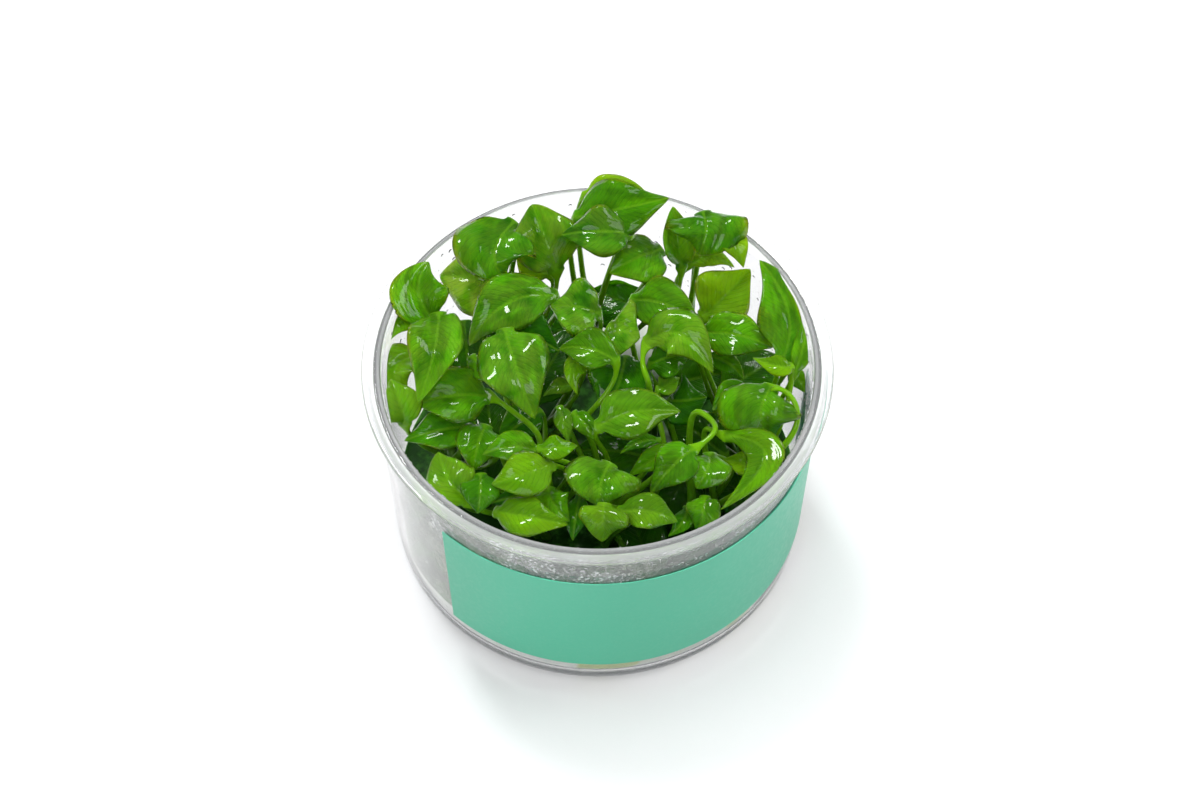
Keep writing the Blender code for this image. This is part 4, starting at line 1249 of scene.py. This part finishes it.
class CULTURE_OT_leaves(bpy.types.Operator):
    """Grow each large leaf with its stalk"""
    bl_idname = "culture.leaves"
    bl_label = "Leaves"

    def execute(self, context):
        material = leaf_material()
        for item, ends, points in GROWN:
            if not is_young(item):
                shape = leaf_mesh_data(item, ends, points)
                add_piece(f"{item.name}_blade", [shape], material, [item.name])
        return {"FINISHED"}


class CULTURE_OT_shoots(bpy.types.Operator):
    """Grow each rooted stem with the young leaves that are one with it"""
    bl_idname = "culture.shoots"
    bl_label = "Shoots"

    def execute(self, context):
        material = bpy.data.materials.get("wet_leaf") or leaf_material()
        for key, spot in SHOOTS.items():
            shapes = [stem_mesh_data(*spot)]
            for item, ends, points in GROWN:
                if is_young(item) and item.shoot == key:
                    shapes.append(leaf_mesh_data(item, ends, points))
            add_piece(f"shoot_{key}_grown", shapes, material, [f"shoot_{key}"])
        return {"FINISHED"}


def drops_tree(name, seed, material):
    """Scatter flattened drops over a surface, and settle them on it."""
    tree = bpy.data.node_groups.new(name, "GeometryNodeTree")
    tree.interface.new_socket("Geometry", in_out="INPUT", socket_type="NodeSocketGeometry")
    for label, value in zip(DROP_VALUES, (100000.0, 0.0001, 0.0004, 0.5)):
        socket = tree.interface.new_socket(label, in_out="INPUT", socket_type="NodeSocketFloat")
        socket.default_value = value
    tree.interface.new_socket("Geometry", in_out="OUTPUT", socket_type="NodeSocketGeometry")
    n = Nodes(tree)
    entry = n.add("NodeGroupInput").outputs
    spread = n.add("GeometryNodeDistributePointsOnFaces", distribute_method="RANDOM")
    chance = n.add("FunctionNodeRandomValue", data_type="FLOAT")
    span = n.add("ShaderNodeMapRange")
    flat = n.add("ShaderNodeCombineXYZ")
    ball = n.add("GeometryNodeMeshIcoSphere")
    settle = n.add("GeometryNodeInstanceOnPoints")
    real = n.add("GeometryNodeRealizeInstances")
    shade = n.add("GeometryNodeSetShadeSmooth")
    skin = n.add("GeometryNodeSetMaterial")
    for socket, value in (
        (spread.inputs["Mesh"], entry["Geometry"]), (spread.inputs["Density"], entry["Density"]),
        (spread.inputs["Seed"], seed), (chance.inputs["Seed"], seed + 1),
        (span.inputs["Value"], n.math("POWER", chance.outputs[1], 3.0)),
        (span.inputs["To Min"], entry["Smallest"]), (span.inputs["To Max"], entry["Largest"]),
        (flat.inputs[0], span.outputs["Result"]), (flat.inputs[1], span.outputs["Result"]),
        (flat.inputs[2], n.times(span.outputs["Result"], entry["Height"])),
        (ball.inputs["Radius"], 1.0), (ball.inputs["Subdivisions"], 2),
        (settle.inputs["Points"], spread.outputs["Points"]),
        (settle.inputs["Instance"], ball.outputs["Mesh"]),
        (settle.inputs["Rotation"], spread.outputs["Rotation"]), (settle.inputs["Scale"], flat.outputs[0]),
        (real.inputs[0], settle.outputs[0]), (shade.inputs[0], real.outputs[0]),
        (skin.inputs[0], shade.outputs[0]), (skin.inputs["Material"], material),
        (n.add("NodeGroupOutput").inputs[0], skin.outputs[0]),
    ):
        n.put(socket, value)
    return tree


def scatter_drops(name, shape, seed, material, values):
    """A plain mesh of drops over a hidden surface that is then removed."""
    mesh = bpy.data.meshes.new(name + "_bed")
    mesh.from_pydata([p * MM for p in shape[0]], [], shape[1])
    bed = bpy.data.objects.new(name + "_bed", mesh)
    cup_collection().objects.link(bed)
    tree = drops_tree(name, seed, material)
    modifier = bed.modifiers.new("Drops", "NODES")
    modifier.node_group = tree
    for item in tree.interface.items_tree:
        if item.in_out == "INPUT" and item.name in DROP_VALUES:
            modifier[item.identifier] = values[DROP_VALUES.index(item.name)]
    bpy.context.view_layer.update()
    graph = bpy.context.evaluated_depsgraph_get()
    made = bpy.data.meshes.new_from_object(bed.evaluated_get(graph))
    bpy.data.objects.remove(bed)
    made.name = name
    piece = bpy.data.objects.new(name, made)
    cup_collection().objects.link(piece)
    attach(piece, "root")


def inner_radius(z):
    low = WALL_LOW_RADIUS - WALL
    return low + (MOUTH_RADIUS - low) * (z - FLOOR - INNER_CORNER) / (RIM_TOP - 1.0 - FLOOR - INNER_CORNER)


def wall_line(low, high, gap, rows):
    """Points on the inner wall's side of a section, a gap away from it."""
    heights = [low + (high - low) * k / rows for k in range(rows + 1)]
    return [(inner_radius(z) - gap, z) for z in heights]


class CULTURE_OT_condensation(bpy.types.Operator):
    """Fog the inner wall and bead it with drops"""
    bl_idname = "culture.condensation"
    bl_label = "Condensation"

    def execute(self, context):
        back, front = [wall_line(*FOG_BAND, gap, FOG_ROWS) for gap in FOG_GAPS]
        shape = lathe(front + back[::-1], context.scene.culture_cup.sides, closed=True)
        add_piece("wall_fog", [shape], fog_material(), [])
        water = clear_material("drops_water", (1, 1, 1), 1.33)
        for name, low, high, rows, start, end, seed, values in DROPS:
            bed = lathe(wall_line(low, high, DROPS_GAP, rows), DROPS_COLUMNS, start, end)
            scatter_drops(name, bed, seed, water, values)
        return {"FINISHED"}


class CULTURE_OT_stage(bpy.types.Operator):
    """Lay the paper floor, hang the soft lights and place the camera"""
    bl_idname = "culture.stage"
    bl_label = "Stage"

    def execute(self, context):
        settings = context.scene.culture_stage
        mesh = bpy.data.meshes.new("paper_floor")
        corners = [(x * FLOOR_REACH, y * FLOOR_REACH, 0) for x, y in ((-1, -1), (1, -1), (1, 1), (-1, 1))]
        mesh.from_pydata(corners, [], [(0, 1, 2, 3)])
        mesh.materials.append(floor_material(settings.floor_color))
        floor = bpy.data.objects.new("paper_floor", mesh)
        context.scene.collection.objects.link(floor)

        world = context.scene.world or bpy.data.worlds.new("studio")
        context.scene.world = world
        world.use_nodes = True
        n = Nodes(world.node_tree)
        back = world.node_tree.nodes["Background"]
        height = n.split(n.add("ShaderNodeTexCoord").outputs["Generated"])[2]
        n.put(back.inputs["Color"], n.mix(n.ramp(height, 0.02, 0.85), settings.horizon, (1, 1, 1)))
        mirrored = n.add("ShaderNodeLightPath").outputs["Is Glossy Ray"]
        strength = n.ramp(mirrored, 0.0, 1.0, settings.fill, settings.fill * MIRRORED_FILL)
        n.put(back.inputs["Strength"], strength)

        for name, spot, size, share in LAMPS:
            light = bpy.data.lights.new(name, "AREA")
            light.size = size
            light.energy = settings.key_power * share
            lamp = bpy.data.objects.new(name, light)
            lamp.visible_glossy = name != "overhead"
            context.scene.collection.objects.link(lamp)
            lamp.location = spot
            lamp.rotation_euler = (LAMP_TARGET - Vector(spot)).to_track_quat("-Z", "Y").to_euler()

        camera = bpy.data.cameras.new("camera")
        camera.sensor_width = 36.0
        camera.lens = CAMERA_LENS
        camera.clip_start, camera.clip_end = 0.01, 20
        eye = bpy.data.objects.new("camera", camera)
        context.scene.collection.objects.link(eye)
        eye.location = CAMERA_PLACE
        eye.rotation_euler = (math.radians(90 - CAMERA_DOWN_DEG), 0, 0)
        context.scene.camera = eye
        context.scene.view_settings.view_transform = "Standard"
        return {"FINISHED"}


OPERATORS = (
    CULTURE_OT_cup, CULTURE_OT_gel, CULTURE_OT_label, CULTURE_OT_leaves, CULTURE_OT_shoots,
    CULTURE_OT_condensation, CULTURE_OT_stage,
)


class CULTURE_PT_panel(bpy.types.Panel):
    """The cup's pieces, in the order in which they are made"""
    bl_idname = "CULTURE_PT_panel"
    bl_label = "Culture cup"
    bl_space_type = "VIEW_3D"
    bl_region_type = "UI"
    bl_category = "Culture cup"

    def draw(self, context):
        for name in SETTINGS:
            box = self.layout.box()
            group = getattr(context.scene, name)
            for key in group.__annotations__:
                box.prop(group, key)
        for operator in OPERATORS:
            self.layout.operator(operator.bl_idname)


SETTINGS = {
    "culture_cup": CultureCupSettings,
    "culture_leaves": CultureLeavesSettings,
    "culture_stage": CultureStageSettings,
}


def register():
    for name, group in SETTINGS.items():
        bpy.utils.register_class(group)
        setattr(bpy.types.Scene, name, bpy.props.PointerProperty(type=group))
    for operator in OPERATORS:
        bpy.utils.register_class(operator)
    bpy.utils.register_class(CULTURE_PT_panel)


def unregister():
    bpy.utils.unregister_class(CULTURE_PT_panel)
    for operator in reversed(OPERATORS):
        bpy.utils.unregister_class(operator)
    for name, group in reversed(SETTINGS.items()):
        delattr(bpy.types.Scene, name)
        bpy.utils.unregister_class(group)


def main():
    register()
    for operator in OPERATORS:
        group, name = operator.bl_idname.split(".")
        getattr(getattr(bpy.ops, group), name)()


GROWN = grown_leaves()

if __name__ == "__main__":
    main()
